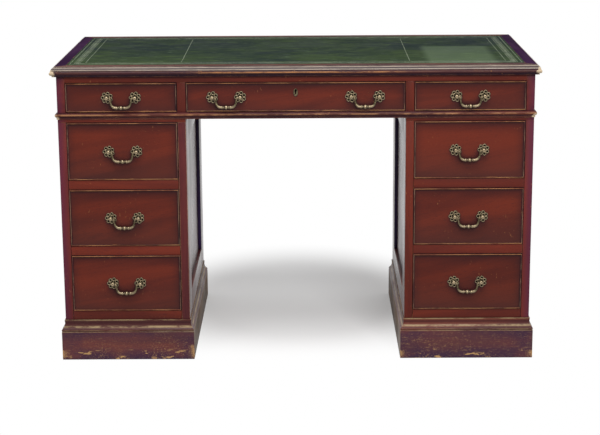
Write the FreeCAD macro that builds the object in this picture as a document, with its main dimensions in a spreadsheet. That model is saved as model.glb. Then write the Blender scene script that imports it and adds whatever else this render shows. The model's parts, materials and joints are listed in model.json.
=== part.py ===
"""A twin-pedestal writing desk: nine drawers, a frieze section and a top with a leather inset.

The frame stands on the floor at z = 0, centred on x and y, with the drawer fronts facing -Y.
"""
import FreeCAD, Part
import math
import os
from types import SimpleNamespace

import Sketcher
from FreeCAD import Placement, Rotation, Vector

# Driving sizes in millimetres
SIZES = {
    # Case, across and deep
    "pedestal_width": 320.0,
    "kneehole_width": 550.0,
    "case_depth": 580.0,
    "side_thickness": 20.5,
    "divider_thickness": 21.5,
    # Heights from the floor up
    "plinth_height": 105.0,
    "bottom_rail_height": 23.0,
    "drawer_opening_height": 148.0,
    "drawer_rail_height": 23.5,
    "pedestal_top_thickness": 8.0,
    "frieze_bottom_rail_height": 17.0,
    "frieze_opening_height": 75.0,
    "frieze_top_rail_height": 16.0,
    # Framed and panelled sides
    "stile_width": 85.0,
    "back_stile_width": 60.0,
    "panel_top_rail": 55.0,
    "panel_bottom_rail": 56.0,
    "panel_thickness": 7.0,
    "panel_setback": 9.0,
    "panel_tongue": 8.0,
    # Rails, runners, stops and locating blocks
    "rail_depth": 45.0,
    "kick_board_thickness": 20.0,
    "runner_width": 18.0,
    "stop_length": 30.0,
    "stop_depth": 16.0,
    "stop_height": 5.0,
    "block_width": 30.0,
    "block_height": 14.0,
    "block_end_gap": 60.0,
    # Plinth: a planted board with a bead and a cove worked on its upper edge
    "plinth_projection": 10.0,
    "plinth_cove_height": 20.0,
    "plinth_bead_height": 6.0,
    "plinth_bead_swell": 1.5,
    "plinth_fillet": 2.5,
    "plinth_fillet_height": 3.5,
    "plinth_cove_hollow": 3.0,
    # Waist moulding planted on the frieze's bottom rail
    "waist_height": 16.0,
    "waist_fillet": 2.0,
    "waist_swell": 4.0,
    # Top
    "top_overhang": 15.0,
    "top_thickness": 25.0,
    "top_quirk": 1.5,
    "ovolo_run": 9.2,
    "ovolo_drop": 9.0,
    "ovolo_swell": 2.2,
    "nosing_step": 1.5,
    "nosing_height": 9.0,
    "nosing_swell": 2.8,
    "under_fillet": 3.0,
    "leather_border": 38.0,
    "leather_thickness": 2.0,
    # Drawers
    "drawer_back_room": 29.5,
    "front_gap": 1.2,
    "front_thickness": 19.0,
    "bead_width": 3.0,
    "bead_depth": 8.0,
    "bead_proud": 2.2,
    "bead_chamfer": 0.9,
    "drawer_side_thickness": 10.0,
    "drawer_side_top_gap": 4.0,
    "drawer_back_thickness": 9.0,
    "drawer_back_drop": 4.0,
    "drawer_bottom_thickness": 6.0,
    "drawer_bottom_lift": 10.0,
    "groove_depth": 5.0,
    "tail_lap": 1.0,
    "tail_width": 24.0,
    "tail_taper": 2.0,
    # Pulls: a bail that swings between two posts on lobed roses
    "pull_spacing": 70.0,
    "centre_pull_offset": 173.0,
    "rose_radius": 14.2,
    "rose_valley_radius": 11.2,
    "rose_thickness": 1.4,
    "post_collar_radius": 5.2,
    "post_collar_height": 1.8,
    "post_neck_radius": 2.9,
    "post_head_radius": 4.6,
    "post_head_length": 8.6,
    "pivot_standoff": 10.3,
    "shank_side": 4.0,
    "shank_clearance": 0.15,
    "shank_hole_clearance": 0.6,
    "seat_clearance": 0.05,
    "nut_side": 9.0,
    "nut_thickness": 3.0,
    "bail_pin_radius": 1.7,
    "bail_pin_clearance": 0.08,
    "bail_pin_reach": 5.4,
    "bail_end_gap": 0.4,
    "bail_leg_radius": 2.2,
    "bail_shoulder": 1.2,
    "bail_neck": 2.6,
    "bail_drop": 24.6,
    "bail_corner": 6.0,
    "knop_radius": 4.0,
    "knop_length": 7.0,
    # Lock in the middle frieze drawer
    "escutcheon_width": 10.4,
    "escutcheon_height": 19.0,
    "escutcheon_thickness": 1.0,
    "keyhole_lift": 15.0,
    "keyhole_radius": 2.2,
    "keyhole_slot_width": 2.4,
    "keyhole_slot_length": 8.0,
    "lock_width": 64.0,
    "lock_height": 40.0,
    "lock_thickness": 10.0,
    "lock_wall": 2.0,
    "bolt_width": 26.0,
    "bolt_height": 15.0,
    "bolt_throw": 7.0,
    "bolt_clearance": 0.35,
    "mortise_clearance": 1.5,
    # Fits
    "running_gap": 0.3,
}

DRAWERS_PER_PEDESTAL = 3
ROSE_LOBES = 7
LOBE_TIP_HALF_ANGLE = math.radians(11)
CAST_SIDES = 8
DEEP_TAILS = 3
SHALLOW_TAILS = 2
ESCUTCHEON_ROUND = 0.94

doc = FreeCAD.newDocument("pedestal_desk")
nodes = []


class Measure:
    """A length: its value in millimetres, and the sheet formula that gives it."""

    def __init__(self, value, formula):
        self.value = value
        self.formula = formula

    def join(self, sign, other, value):
        """Combines two lengths, or a length and a number, into one formula."""
        right = other.formula if isinstance(other, Measure) else repr(float(other))
        return Measure(value, f"({self.formula} {sign} {right})")

    def __add__(self, other):
        return self.join("+", other, self.value + number(other))

    def __sub__(self, other):
        return self.join("-", other, self.value - number(other))

    def __mul__(self, other):
        return self.join("*", other, self.value * number(other))

    def __truediv__(self, other):
        return self.join("/", other, self.value / number(other))

    def __neg__(self):
        return self * -1

    __radd__ = __add__
    __rmul__ = __mul__


def number(length):
    """The value of a length or of a plain number."""
    return length.value if isinstance(length, Measure) else float(length)


ZERO = Measure(0.0, "0")


def sheet_named(name):
    """An empty sheet."""
    return doc.addObject("Spreadsheet::Sheet", name)


def write_cell(sheet, row, alias, content):
    """Puts a name in column A and its content in column B, known by that name."""
    sheet.set(f"A{row}", alias)
    sheet.set(f"B{row}", content)
    sheet.setAlias(f"B{row}", alias)


driving = sheet_named("Sizes")
for row, (alias, value) in enumerate(SIZES.items(), start=1):
    write_cell(driving, row, alias, str(value))
size = SimpleNamespace(**{alias: Measure(value, f"Sizes.{alias}") for alias, value in SIZES.items()})

layout = sheet_named("Layout")
layout_rows = []


def derive(alias, length):
    """Keeps a length that follows from the driving sizes in the layout sheet."""
    layout_rows.append(alias)
    write_cell(layout, len(layout_rows), alias, "=" + length.formula)
    return Measure(length.value, f"Layout.{alias}")


# Places that follow from the driving sizes
case_width = derive("case_width", 2 * size.pedestal_width + size.kneehole_width)
front_y = derive("front_y", size.case_depth / -2)
back_y = derive("back_y", size.case_depth / 2)
opening_width = derive("opening_width", size.pedestal_width - 2 * size.side_thickness)
centre_width = derive(
    "centre_width", size.kneehole_width + 2 * size.side_thickness - 2 * size.divider_thickness
)
centre_x = derive("centre_x", (size.pedestal_width + size.kneehole_width) / 2)
first_level = derive("first_level", size.plinth_height + size.bottom_rail_height)
drawer_pitch = derive("drawer_pitch", size.drawer_opening_height + size.drawer_rail_height)
pedestal_height = derive(
    "pedestal_height", first_level + DRAWERS_PER_PEDESTAL * drawer_pitch - size.drawer_rail_height
)
frieze_z = derive("frieze_z", pedestal_height + size.pedestal_top_thickness)
frieze_level = derive("frieze_level", frieze_z + size.frieze_bottom_rail_height)
frieze_ceiling = derive("frieze_ceiling", frieze_level + size.frieze_opening_height)
top_z = derive("top_z", frieze_ceiling + size.frieze_top_rail_height)
inside_back_y = derive("inside_back_y", back_y - size.side_thickness)
drawer_length = derive("drawer_length", inside_back_y - front_y - size.drawer_back_room)
waist_projection = derive("waist_projection", size.waist_fillet + size.waist_swell)
tail_length = derive("tail_length", size.front_thickness - size.bead_depth - size.tail_lap)
bolt_y = derive("bolt_y", size.front_thickness + size.lock_wall + size.bolt_clearance)
bolt_thickness = derive(
    "bolt_thickness", size.lock_thickness - 2 * size.lock_wall - 2 * size.bolt_clearance
)


def bind(item, **lengths):
    """Ties properties of an object to lengths."""
    for name, length in lengths.items():
        item.setExpression(name, length.formula)


def place(item, x=ZERO, y=ZERO, z=ZERO, rotation=None):
    """Turns an object, and ties where it stands to lengths."""
    item.Placement = Placement(Vector(), rotation or Rotation())
    for axis, length in zip("xyz", (x, y, z)):
        item.setExpression(f"Placement.Base.{axis}", length.formula)
    return item


def board(name, x, y, z, along_x, along_y, along_z):
    """A plain board with its least corner at x, y, z."""
    item = doc.addObject("Part::Box", name)
    bind(item, Length=along_x, Width=along_y, Height=along_z)
    return place(item, x, y, z)


def prism(name, x, y, z, radius, length, rotation=None):
    """An eight-sided bar from x, y, z, along Z before it is turned, with flats towards X and Y."""
    item = doc.addObject("Part::Prism", name)
    item.Polygon = CAST_SIDES
    bind(item, Circumradius=radius / math.cos(math.pi / CAST_SIDES), Height=length)
    half_side = Rotation(Vector(0, 0, 1), 180 / CAST_SIDES)
    return place(item, x, y, z, (rotation or Rotation()) * half_side)


def fuse(name, items):
    """One solid made of several."""
    item = doc.addObject("Part::MultiFuse", name)
    item.Shapes = items
    item.Refine = True
    return item


def cut(name, base, tools):
    """A solid with the room of each tool taken out of it."""
    for index, tool in enumerate(tools):
        item = doc.addObject("Part::Cut", f"{name}_cut_{index}")
        item.Base = base
        item.Tool = tool
        base = item
    return base


def copy_at(source, name, x=ZERO, y=ZERO, z=ZERO, rotation=None):
    """Another of the same piece, standing somewhere else."""
    item = doc.addObject("App::Link", name)
    item.setLink(source)
    item.LinkTransform = True
    return place(item, x, y, z, rotation)


def node(label, items):
    """A named sub-part of the desk, made of one or more separate pieces."""
    item = doc.addObject("Part::Compound", label)
    item.Label = label
    item.Links = items
    nodes.append(item)
    return item


def body_sketch(body, name, role):
    """An empty sketch on one of the body's own planes."""
    sketch = body.newObject("Sketcher::SketchObject", name)
    plane = next(item for item in body.Origin.OriginFeatures if item.Role == role)
    sketch.AttachmentSupport = [(plane, "")]
    sketch.MapMode = "FlatFace"
    return sketch


def arc_between(start, end, radius, turn):
    """The arc under a half circle from start to end: turn is 1 to the left, -1 to the right."""
    chord = end - start
    height = math.sqrt(max(radius**2 - (chord.Length / 2) ** 2, 0))
    left = Vector(-chord.y, chord.x, 0).normalize()
    centre = (start + end) / 2 + left * height * turn
    first, last = (start, end) if turn > 0 else (end, start)
    angles = [math.atan2(point.y - centre.y, point.x - centre.x) for point in (first, last)]
    circle = Part.Circle(centre, Vector(0, 0, 1), radius)
    return Part.ArcOfCircle(circle, angles[0], angles[1])


def draw(sketch, corners, closed=True):
    """Draws an outline through corners, each tied to lengths.

    A corner is (across, up), or (across, up, radius, turn) where an arc leads on from it.
    """
    points = [Vector(number(corner[0]), number(corner[1]), 0) for corner in corners]
    strokes = len(corners) if closed else len(corners) - 1
    starts = []
    base = sketch.GeometryCount
    for index in range(strokes):
        start = points[index]
        end = points[(index + 1) % len(points)]
        if len(corners[index]) == 2:
            sketch.addGeometry(Part.LineSegment(start, end))
            starts.append((base + index, 1, 2))
            continue
        radius, turn = corners[index][2:]
        sketch.addGeometry(arc_between(start, end, number(radius), turn))
        starts.append((base + index, 1, 2) if turn > 0 else (base + index, 2, 1))
        row = sketch.addConstraint(Sketcher.Constraint("Radius", base + index, number(radius)))
        sketch.setExpression(f"Constraints[{row}]", radius.formula)
    for index, (geometry, first, last) in enumerate(starts):
        if closed or index + 1 < strokes:
            follower, follower_first = starts[(index + 1) % strokes][:2]
            sketch.addConstraint(
                Sketcher.Constraint("Coincident", geometry, last, follower, follower_first)
            )
    for index, corner in enumerate(corners):
        geometry, place_on_it = starts[index][:2] if index < strokes else (starts[-1][0], starts[-1][2])
        for kind, length in zip(("DistanceX", "DistanceY"), corner[:2]):
            row = sketch.addConstraint(
                Sketcher.Constraint(kind, -1, 1, geometry, place_on_it, number(length))
            )
            sketch.setExpression(f"Constraints[{row}]", length.formula)
    return sketch


def moulded_bar(name, role, corners, length, hole=None):
    """A bar of one outline, run for a length along the outline plane's own normal."""
    body = doc.addObject("PartDesign::Body", name)
    sketch = draw(body_sketch(body, f"{name}_outline", role), corners)
    if hole:
        draw(sketch, hole)
    pad = body.newObject("PartDesign::Pad", f"{name}_run")
    pad.Profile = sketch
    pad.setExpression("Length", length.formula)
    return body


def swell_radius(across, up, swell):
    """The radius of an arc that rises by a swell over a chord of this run across and up."""
    return (across * across + up * up) / (8 * swell) + swell / 2


def mitred_strip(name, corners, face_length, reach, height):
    """A strip along X that stands out to -Y from a face at y = 0, mitred at both ends."""
    run = face_length + 2 * reach
    bar = moulded_bar(f"{name}_bar", "YZ_Plane", corners, run)
    place(bar, run / -2)
    mitres = doc.addObject("Part::Wedge", f"{name}_mitres")
    bind(mitres, Xmin=run / -2, Xmax=run / 2, X2min=face_length / -2, X2max=face_length / 2)
    bind(mitres, Ymin=-reach, Ymax=ZERO, Zmin=ZERO, Zmax=height, Z2min=ZERO, Z2max=height)
    strip = doc.addObject("Part::Common", name)
    strip.Base = bar
    strip.Tool = mitres
    return strip


def quarter_turns(turns):
    """A turn about Z by a number of quarter turns."""
    return Rotation(Vector(0, 0, 1), 90 * turns)


# A turn that carries Z to -Y, for pieces built lying on a front and looking up
FACING_FRONT = Rotation(Vector(1, 0, 0), 90)

# A turn that carries Z to X
ALONG_X = Rotation(Vector(0, 1, 0), 90)


def ring_of_strips(label, cross_strip, deep_strip, x, width, z):
    """Four mitred strips round a case of a width, at x and z."""
    strips = [
        copy_at(cross_strip, f"{label}_front", x, front_y, z, quarter_turns(0)),
        copy_at(deep_strip, f"{label}_right", x + width / 2, ZERO, z, quarter_turns(1)),
        copy_at(cross_strip, f"{label}_back", x, back_y, z, quarter_turns(2)),
        copy_at(deep_strip, f"{label}_left", x - width / 2, ZERO, z, quarter_turns(3)),
    ]
    return node(label, strips)


def panelled_frame(name, across, start, face, panel_face, length, stile):
    """Two stiles and two rails grooved for a sunk panel. Returns the members and the panel.

    It stands across X or across Y, from start, with its least face at face.
    """
    bottom = size.plinth_height + size.panel_bottom_rail
    top = pedestal_height - size.panel_top_rail

    def slab(part, along, at, z, run, thickness, height):
        if across == "Y":
            return board(f"{name}_{part}", at, along, z, thickness, run, height)
        return board(f"{name}_{part}", along, at, z, run, thickness, height)

    tongue = size.panel_tongue
    panel = slab(
        "panel", start + stile - tongue, panel_face, bottom - tongue,
        length - 2 * stile + 2 * tongue, size.panel_thickness, top - bottom + 2 * tongue,
    )
    inner = start + stile
    inner_length = length - 2 * stile
    thickness = size.side_thickness
    members = [
        slab("first_stile", start, face, ZERO, stile, thickness, pedestal_height),
        slab("second_stile", start + length - stile, face, ZERO, stile, thickness, pedestal_height),
        slab("top_rail", inner, face, top, inner_length, thickness, size.panel_top_rail),
        slab("bottom_rail", inner, face, ZERO, inner_length, thickness, bottom),
    ]
    grooved = [cut(f"{name}_member_{index}", member, [panel]) for index, member in enumerate(members)]
    return grooved, panel


def stops(name, x, level, width):
    """Two blocks behind a drawer front that end its travel inward."""
    y = front_y + size.front_thickness + size.running_gap
    return [
        board(f"{name}_{side}", x + width * share - size.stop_length / 2, y, level,
              size.stop_length, size.stop_depth, size.stop_height)
        for side, share in (("left", -0.25), ("right", 0.25))
    ]


def pedestal(side, x):
    """The fixed pieces of one pedestal, centred at x. Returns its runners."""
    left = x - size.pedestal_width / 2
    right = x + size.pedestal_width / 2
    thickness = size.side_thickness
    sunk = size.panel_setback + size.panel_thickness
    frames = [
        panelled_frame(f"{side}_first", "Y", front_y, left, left + size.panel_setback,
                       size.case_depth, size.stile_width),
        panelled_frame(f"{side}_second", "Y", front_y, right - thickness, right - sunk,
                       size.case_depth, size.stile_width),
        panelled_frame(f"{side}_back", "X", left + thickness, inside_back_y, back_y - sunk,
                       opening_width, size.back_stile_width),
    ]
    node(f"{side}_pedestal_frames", [member for members, panel in frames for member in members])
    node(f"{side}_pedestal_panels", [panel for members, panel in frames])

    inside = left + thickness
    rails = [
        board(f"{side}_kick_board", inside, front_y, ZERO,
              opening_width, size.kick_board_thickness, size.plinth_height)
    ]
    runners = []
    runner_start = front_y + size.rail_depth
    runner_length = inside_back_y - runner_start
    for index in range(DRAWERS_PER_PEDESTAL):
        level = first_level + drawer_pitch * index
        rail_height = size.bottom_rail_height if index == 0 else size.drawer_rail_height
        rails.append(board(f"{side}_rail_{index}", inside, front_y, level - rail_height,
                           opening_width, size.rail_depth, rail_height))
        rails += stops(f"{side}_stop_{index}", x, level, opening_width)
        for hand, runner_x in (("left", inside), ("right", right - thickness - size.runner_width)):
            runners.append(board(f"{side}_runner_{index}_{hand}", runner_x, runner_start,
                                 level - rail_height, size.runner_width, runner_length, rail_height))
    node(f"{side}_drawer_rails", rails)
    return runners


def pedestal_tops():
    """The two boards on which the frieze stands, each with its two locating blocks."""
    boards = []
    blocks = []
    for side, x in (("left", -centre_x), ("right", centre_x)):
        boards.append(board(f"{side}_pedestal_board", x - size.pedestal_width / 2, front_y,
                            pedestal_height, size.pedestal_width, size.case_depth,
                            size.pedestal_top_thickness))
        start = front_y + size.rail_depth + size.block_end_gap
        length = back_y - size.side_thickness - size.block_end_gap - start
        edge = opening_width / 2 - size.runner_width - size.running_gap
        for hand, block_x in (("left", x - edge), ("right", x + edge - size.block_width)):
            blocks.append(board(f"{side}_block_{hand}", block_x, start, frieze_z,
                                size.block_width, length, size.block_height))
    node("pedestal_tops", boards)
    node("locating_blocks", blocks)


def plinths():
    """A mitred plinth planted round the foot of each pedestal."""
    reach = size.plinth_projection
    height = size.plinth_height
    fillet_z = height - size.plinth_fillet_height
    cove_z = fillet_z - size.plinth_cove_height
    bead_z = cove_z - size.plinth_bead_height
    bead_face = reach - size.plinth_bead_swell
    cove_run = bead_face - size.plinth_fillet
    cove_radius = swell_radius(cove_run, size.plinth_cove_height, size.plinth_cove_hollow)
    bead_radius = swell_radius(ZERO, size.plinth_bead_height, size.plinth_bead_swell)
    corners = [
        (ZERO, ZERO),
        (ZERO, height),
        (-size.plinth_fillet, height),
        (-size.plinth_fillet, fillet_z, cove_radius, -1),
        (-bead_face, cove_z, bead_radius, 1),
        (-bead_face, bead_z),
        (-reach, bead_z - size.plinth_bead_swell),
        (-reach, ZERO),
    ]
    cross = mitred_strip("plinth_cross", corners, size.pedestal_width, reach, height)
    deep = mitred_strip("plinth_deep", corners, size.case_depth, reach, height)
    for side, x in (("left", -centre_x), ("right", centre_x)):
        ring_of_strips(f"{side}_plinth", cross, deep, x, size.pedestal_width, ZERO)


def waist_moulding():
    """A nosed strip round the foot of the frieze, which also crosses the kneehole."""
    fillet = size.waist_fillet
    height = size.waist_height
    corners = [
        (ZERO, ZERO),
        (ZERO, height),
        (-fillet, height, swell_radius(ZERO, height, size.waist_swell), 1),
        (-fillet, ZERO),
    ]
    cross = mitred_strip("waist_cross", corners, case_width, waist_projection, height)
    deep = mitred_strip("waist_deep", corners, size.case_depth, waist_projection, height)
    ring_of_strips("waist_moulding", cross, deep, ZERO, case_width, frieze_z)


def frieze():
    """The fixed pieces of the section that holds the three upper drawers."""
    thickness = size.side_thickness
    height = top_z - frieze_z
    inside = case_width / -2 + thickness
    inside_width = case_width - 2 * thickness
    ends = [
        board(f"frieze_end_{side}", x, front_y, frieze_z, thickness, size.case_depth, height)
        for side, x in (("left", case_width / -2), ("right", case_width / 2 - thickness))
    ]
    node("frieze_ends", ends)
    back = board("frieze_back_board", inside, inside_back_y, frieze_z, inside_width, thickness, height)
    node("frieze_back", [back])

    divider_x = {
        "left": centre_width / -2 - size.divider_thickness,
        "right": centre_width / 2,
    }
    dividers = [
        board(f"frieze_divider_{side}", x, front_y, frieze_level, size.divider_thickness,
              inside_back_y - front_y, size.frieze_opening_height)
        for side, x in divider_x.items()
    ]
    node("frieze_dividers", dividers)

    runner_start = front_y + size.rail_depth
    runner_length = inside_back_y - runner_start
    wide = size.divider_thickness + 2 * size.runner_width
    runner_places = {
        "left_end": (inside, size.runner_width),
        "left_divider": (divider_x["left"] - size.runner_width, wide),
        "right_divider": (divider_x["right"] - size.runner_width, wide),
        "right_end": (-inside - size.runner_width, size.runner_width),
    }
    runners = [
        board(f"frieze_runner_{name}", x, runner_start, frieze_z, width, runner_length,
              size.frieze_bottom_rail_height)
        for name, (x, width) in runner_places.items()
    ]
    node("frieze_runners", runners)

    bottom = board("frieze_bottom_board", inside, front_y, frieze_z, inside_width, size.rail_depth,
                   size.frieze_bottom_rail_height)
    stop_blocks = (
        stops("frieze_stop_left", -centre_x, frieze_level, opening_width)
        + stops("frieze_stop_centre", ZERO, frieze_level, centre_width)
        + stops("frieze_stop_right", centre_x, frieze_level, opening_width)
    )
    node("frieze_bottom_rail", [bottom] + stop_blocks)

    rail = board("frieze_top_board", inside, front_y, frieze_ceiling, inside_width, size.rail_depth,
                 size.frieze_top_rail_height)
    gap = size.mortise_clearance
    mortise = board("bolt_mortise", size.bolt_width / -2 - gap, front_y + bolt_y - gap, frieze_ceiling,
                    size.bolt_width + 2 * gap, bolt_thickness + 2 * gap, size.bolt_throw + gap)
    node("frieze_top_rail", [cut("frieze_top", rail, [mortise])])


def top():
    """The moulded top, sunk for its leather."""
    width = case_width + 2 * size.top_overhang
    depth = size.case_depth + 2 * size.top_overhang
    thickness = size.top_thickness
    ovolo_top = thickness - size.top_quirk
    ovolo_foot = ovolo_top - size.ovolo_drop
    nosing_top = ovolo_foot - size.nosing_step
    nosing_foot = nosing_top - size.nosing_height
    ovolo_radius = swell_radius(size.ovolo_run, size.ovolo_drop, size.ovolo_swell)
    nosing_radius = swell_radius(ZERO, size.nosing_height, size.nosing_swell)

    def section(full):
        """The outline across the top: up one moulded edge and down the other."""
        nose = full / 2 - size.nosing_swell
        under = nose - size.under_fillet
        flat = nose - size.ovolo_run
        return [
            (under, ZERO),
            (under, nosing_foot),
            (nose, nosing_foot, nosing_radius, 1),
            (nose, nosing_top),
            (nose, ovolo_foot, ovolo_radius, 1),
            (flat, ovolo_top),
            (flat, thickness),
            (-flat, thickness),
            (-flat, ovolo_top, ovolo_radius, 1),
            (-nose, ovolo_foot),
            (-nose, nosing_top, nosing_radius, 1),
            (-nose, nosing_foot),
            (-under, nosing_foot),
            (-under, ZERO),
        ]

    across = moulded_bar("top_across", "YZ_Plane", section(depth), width)
    place(across, width / -2, ZERO, top_z)
    deep = moulded_bar("top_deep", "XZ_Plane", section(width), depth)
    place(deep, ZERO, depth / 2, top_z)
    slab = doc.addObject("Part::Common", "top_slab")
    slab.Base = across
    slab.Tool = deep
    leather = board(
        "leather", width / -2 + size.leather_border, depth / -2 + size.leather_border,
        top_z + thickness - size.leather_thickness, width - 2 * size.leather_border,
        depth - 2 * size.leather_border, size.leather_thickness,
    )
    node("top_board", [cut("top_sunk", slab, [leather])])
    node("leather_inset", [leather])


def cockbeads(kind, width, height):
    """The mitred beads let in round a drawer front, placed on it."""
    bead = size.bead_width
    run = size.bead_depth + size.bead_proud
    chamfer = size.bead_chamfer
    corners = [
        (-bead, ZERO),
        (ZERO, ZERO),
        (ZERO, run - chamfer),
        (-chamfer, run),
        (chamfer - bead, run),
        (-bead, run - chamfer),
    ]
    inner_width = width - 2 * size.front_gap - 2 * bead
    inner_height = height - 2 * size.front_gap - 2 * bead
    cross = mitred_strip(f"{kind}_bead_cross", corners, inner_width, bead, run)
    upright = mitred_strip(f"{kind}_bead_upright", corners, inner_height, bead, run)
    middle = height / 2

    def turned(angle):
        return Rotation(Vector(0, 1, 0), angle) * FACING_FRONT

    return [
        (cross, ZERO, middle - inner_height / 2, turned(0)),
        (cross, ZERO, middle + inner_height / 2, turned(180)),
        (upright, inner_width / -2, middle, turned(90)),
        (upright, inner_width / 2, middle, turned(-90)),
    ]


def dovetails(kind, side_x, foot, height, count):
    """The tails on the front end of a drawer side, which the front is cut to receive."""
    tails = []
    pitch = height / count
    half = size.tail_width / 2
    for index in range(count):
        tail = doc.addObject("Part::Wedge", f"{kind}_tail_{index}")
        bind(tail, Xmin=ZERO, Xmax=size.drawer_side_thickness)
        bind(tail, X2min=ZERO, X2max=size.drawer_side_thickness)
        bind(tail, Ymin=ZERO, Ymax=tail_length, Zmin=-half, Zmax=half)
        bind(tail, Z2min=size.tail_taper - half, Z2max=half - size.tail_taper)
        place(tail, side_x, size.front_thickness - tail_length, foot + pitch * (index + 0.5))
        tails.append(tail)
    return tails


def shank_holes(kind, height, pulls):
    """The square holes in a drawer front for the shanks of its pulls."""
    side = size.shank_side + 2 * size.shank_hole_clearance
    return [
        board(f"{kind}_shank_hole_{index}_{hand}", pull_x + size.pull_spacing * share - side / 2, ZERO,
              height / 2 - side / 2, side, size.front_thickness, side)
        for index, pull_x in enumerate(pulls)
        for hand, share in (("left", -0.5), ("right", 0.5))
    ]


def drawer_kind(kind, width, height, tail_count, pulls, front_holes=()):
    """The pieces of one size of drawer, about the foot of its opening's front.

    Returns the front, its beads and the boards of the box behind it.
    """
    gap = size.front_gap
    half = width / 2 - gap
    bead = size.bead_width
    core = board(f"{kind}_front_core", bead - half, ZERO, gap + bead, 2 * half - 2 * bead,
                 size.bead_depth, height - 2 * gap - 2 * bead)
    backing = board(f"{kind}_front_backing", -half, size.bead_depth, gap, 2 * half,
                    size.front_thickness - size.bead_depth, height - 2 * gap)
    front = fuse(f"{kind}_front", [core, backing])

    side_thickness = size.drawer_side_thickness
    groove = size.groove_depth
    foot = size.running_gap
    side_height = height - size.drawer_side_top_gap - foot
    inner = half - side_thickness + groove
    bottom_top = size.drawer_bottom_lift + size.drawer_bottom_thickness
    bottom = board(f"{kind}_bottom", -inner, size.front_thickness - groove, size.drawer_bottom_lift,
                   2 * inner, drawer_length - size.front_thickness + groove,
                   size.drawer_bottom_thickness)
    back = board(f"{kind}_back", -inner, drawer_length - size.drawer_back_thickness, bottom_top,
                 2 * inner, size.drawer_back_thickness,
                 foot + side_height - size.drawer_back_drop - bottom_top)
    sides = []
    tails = []
    for hand, side_x in (("left", -half), ("right", half - side_thickness)):
        cheek = board(f"{kind}_cheek_{hand}", side_x, size.front_thickness, foot, side_thickness,
                      drawer_length - size.front_thickness, side_height)
        side_tails = dovetails(f"{kind}_{hand}", side_x, foot, side_height, tail_count)
        tailed = fuse(f"{kind}_tailed_{hand}", [cheek] + side_tails)
        sides.append(cut(f"{kind}_side_{hand}", tailed, [bottom, back]))
        tails += side_tails
    tools = tails + [bottom] + shank_holes(kind, height, pulls) + list(front_holes)
    front = cut(f"{kind}_front", front, tools)
    return SimpleNamespace(
        front=front, beads=cockbeads(kind, width, height), box=sides + [back, bottom], pulls=pulls,
        height=height,
    )


def rose():
    """A lobed plate round the foot of a post."""
    corners = []
    for lobe in range(ROSE_LOBES):
        axis = 2 * math.pi * lobe / ROSE_LOBES
        valley = axis + math.pi / ROSE_LOBES
        for angle, radius in (
            (axis - LOBE_TIP_HALF_ANGLE, size.rose_radius),
            (axis + LOBE_TIP_HALF_ANGLE, size.rose_radius),
            (valley, size.rose_valley_radius),
        ):
            corners.append((radius * math.cos(angle), radius * math.sin(angle)))
    half = size.shank_side / 2 + size.shank_clearance
    hole = [(-half, -half), (half, -half), (half, half), (-half, half)]
    plate = moulded_bar("rose", "XY_Plane", corners, size.rose_thickness - size.seat_clearance, hole)
    return place(plate, ZERO, ZERO, size.seat_clearance)


def post():
    """A turned post on a square shank, with a blind eye in its head for the bail's pin."""
    head_z = size.pivot_standoff - size.post_head_length / 2
    side = size.shank_side
    shank_length = size.front_thickness + size.seat_clearance + size.rose_thickness
    shank = board("post_shank", side / -2, side / -2, size.rose_thickness - shank_length,
                  side, side, shank_length)
    collar = prism("post_collar", ZERO, ZERO, size.rose_thickness, size.post_collar_radius,
                   size.post_collar_height)
    neck_z = size.rose_thickness + size.post_collar_height
    neck = prism("post_neck", ZERO, ZERO, neck_z, size.post_neck_radius, head_z - neck_z)
    head = prism("post_head", ZERO, ZERO, head_z, size.post_head_radius, size.post_head_length)
    depth = size.bail_pin_reach + size.running_gap
    eye = prism("post_eye", size.post_head_radius - depth, ZERO, size.pivot_standoff,
                size.bail_pin_radius + size.bail_pin_clearance, depth, ALONG_X)
    return cut("post", fuse("post_blank", [shank, collar, neck, head]), [eye])


def nut():
    """A square blind nut on the end of a shank, inside the drawer."""
    half = size.nut_side / 2
    return board("nut", -half, -half, -size.front_thickness - size.seat_clearance - size.nut_thickness,
                 size.nut_side, size.nut_side, size.nut_thickness)


def bail():
    """A swan-necked bail about its pivot: two legs, a bar with a knop, and a pin at each end."""
    drop = size.bail_drop
    radius = size.bail_leg_radius
    post_face = size.pull_spacing / 2 - size.post_head_radius
    end = post_face - size.bail_end_gap
    shoulder = end - size.bail_shoulder
    leg = shoulder - size.bail_neck
    neck = doc.addObject("PartDesign::Body", "bail_half")
    path = draw(body_sketch(neck, "bail_path", "XZ_Plane"), [
        (ZERO, -drop),
        (leg - size.bail_corner, -drop),
        (leg, size.bail_corner - drop),
        (leg, -size.bail_neck),
        (shoulder, ZERO),
        (end, ZERO),
    ], closed=False)
    facets = [2 * math.pi * (index + 0.5) / CAST_SIDES for index in range(CAST_SIDES)]
    section = draw(body_sketch(neck, "bail_section", "YZ_Plane"), [
        (radius * math.cos(angle), radius * math.sin(angle) - drop) for angle in facets
    ])
    sweep = neck.newObject("PartDesign::AdditivePipe", "bail_sweep")
    sweep.Profile = section
    sweep.Spine = (path, [f"Edge{index + 1}" for index in range(path.GeometryCount)])
    sweep.Transition = "Right corner"
    pin_length = size.bail_pin_reach + size.bail_end_gap
    pieces = [neck, copy_at(neck, "bail_other_half", rotation=quarter_turns(2))]
    for hand, x in (("left", -end - pin_length), ("right", end)):
        pin_flat = size.bail_pin_radius * math.cos(math.pi / CAST_SIDES)
        pieces.append(prism(f"bail_pin_{hand}", x, ZERO, ZERO, pin_flat, pin_length, ALONG_X))
    pieces.append(
        prism("bail_knop", size.knop_length / -2, ZERO, -drop, size.knop_radius, size.knop_length, ALONG_X)
    )
    return fuse("bail", pieces)


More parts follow.
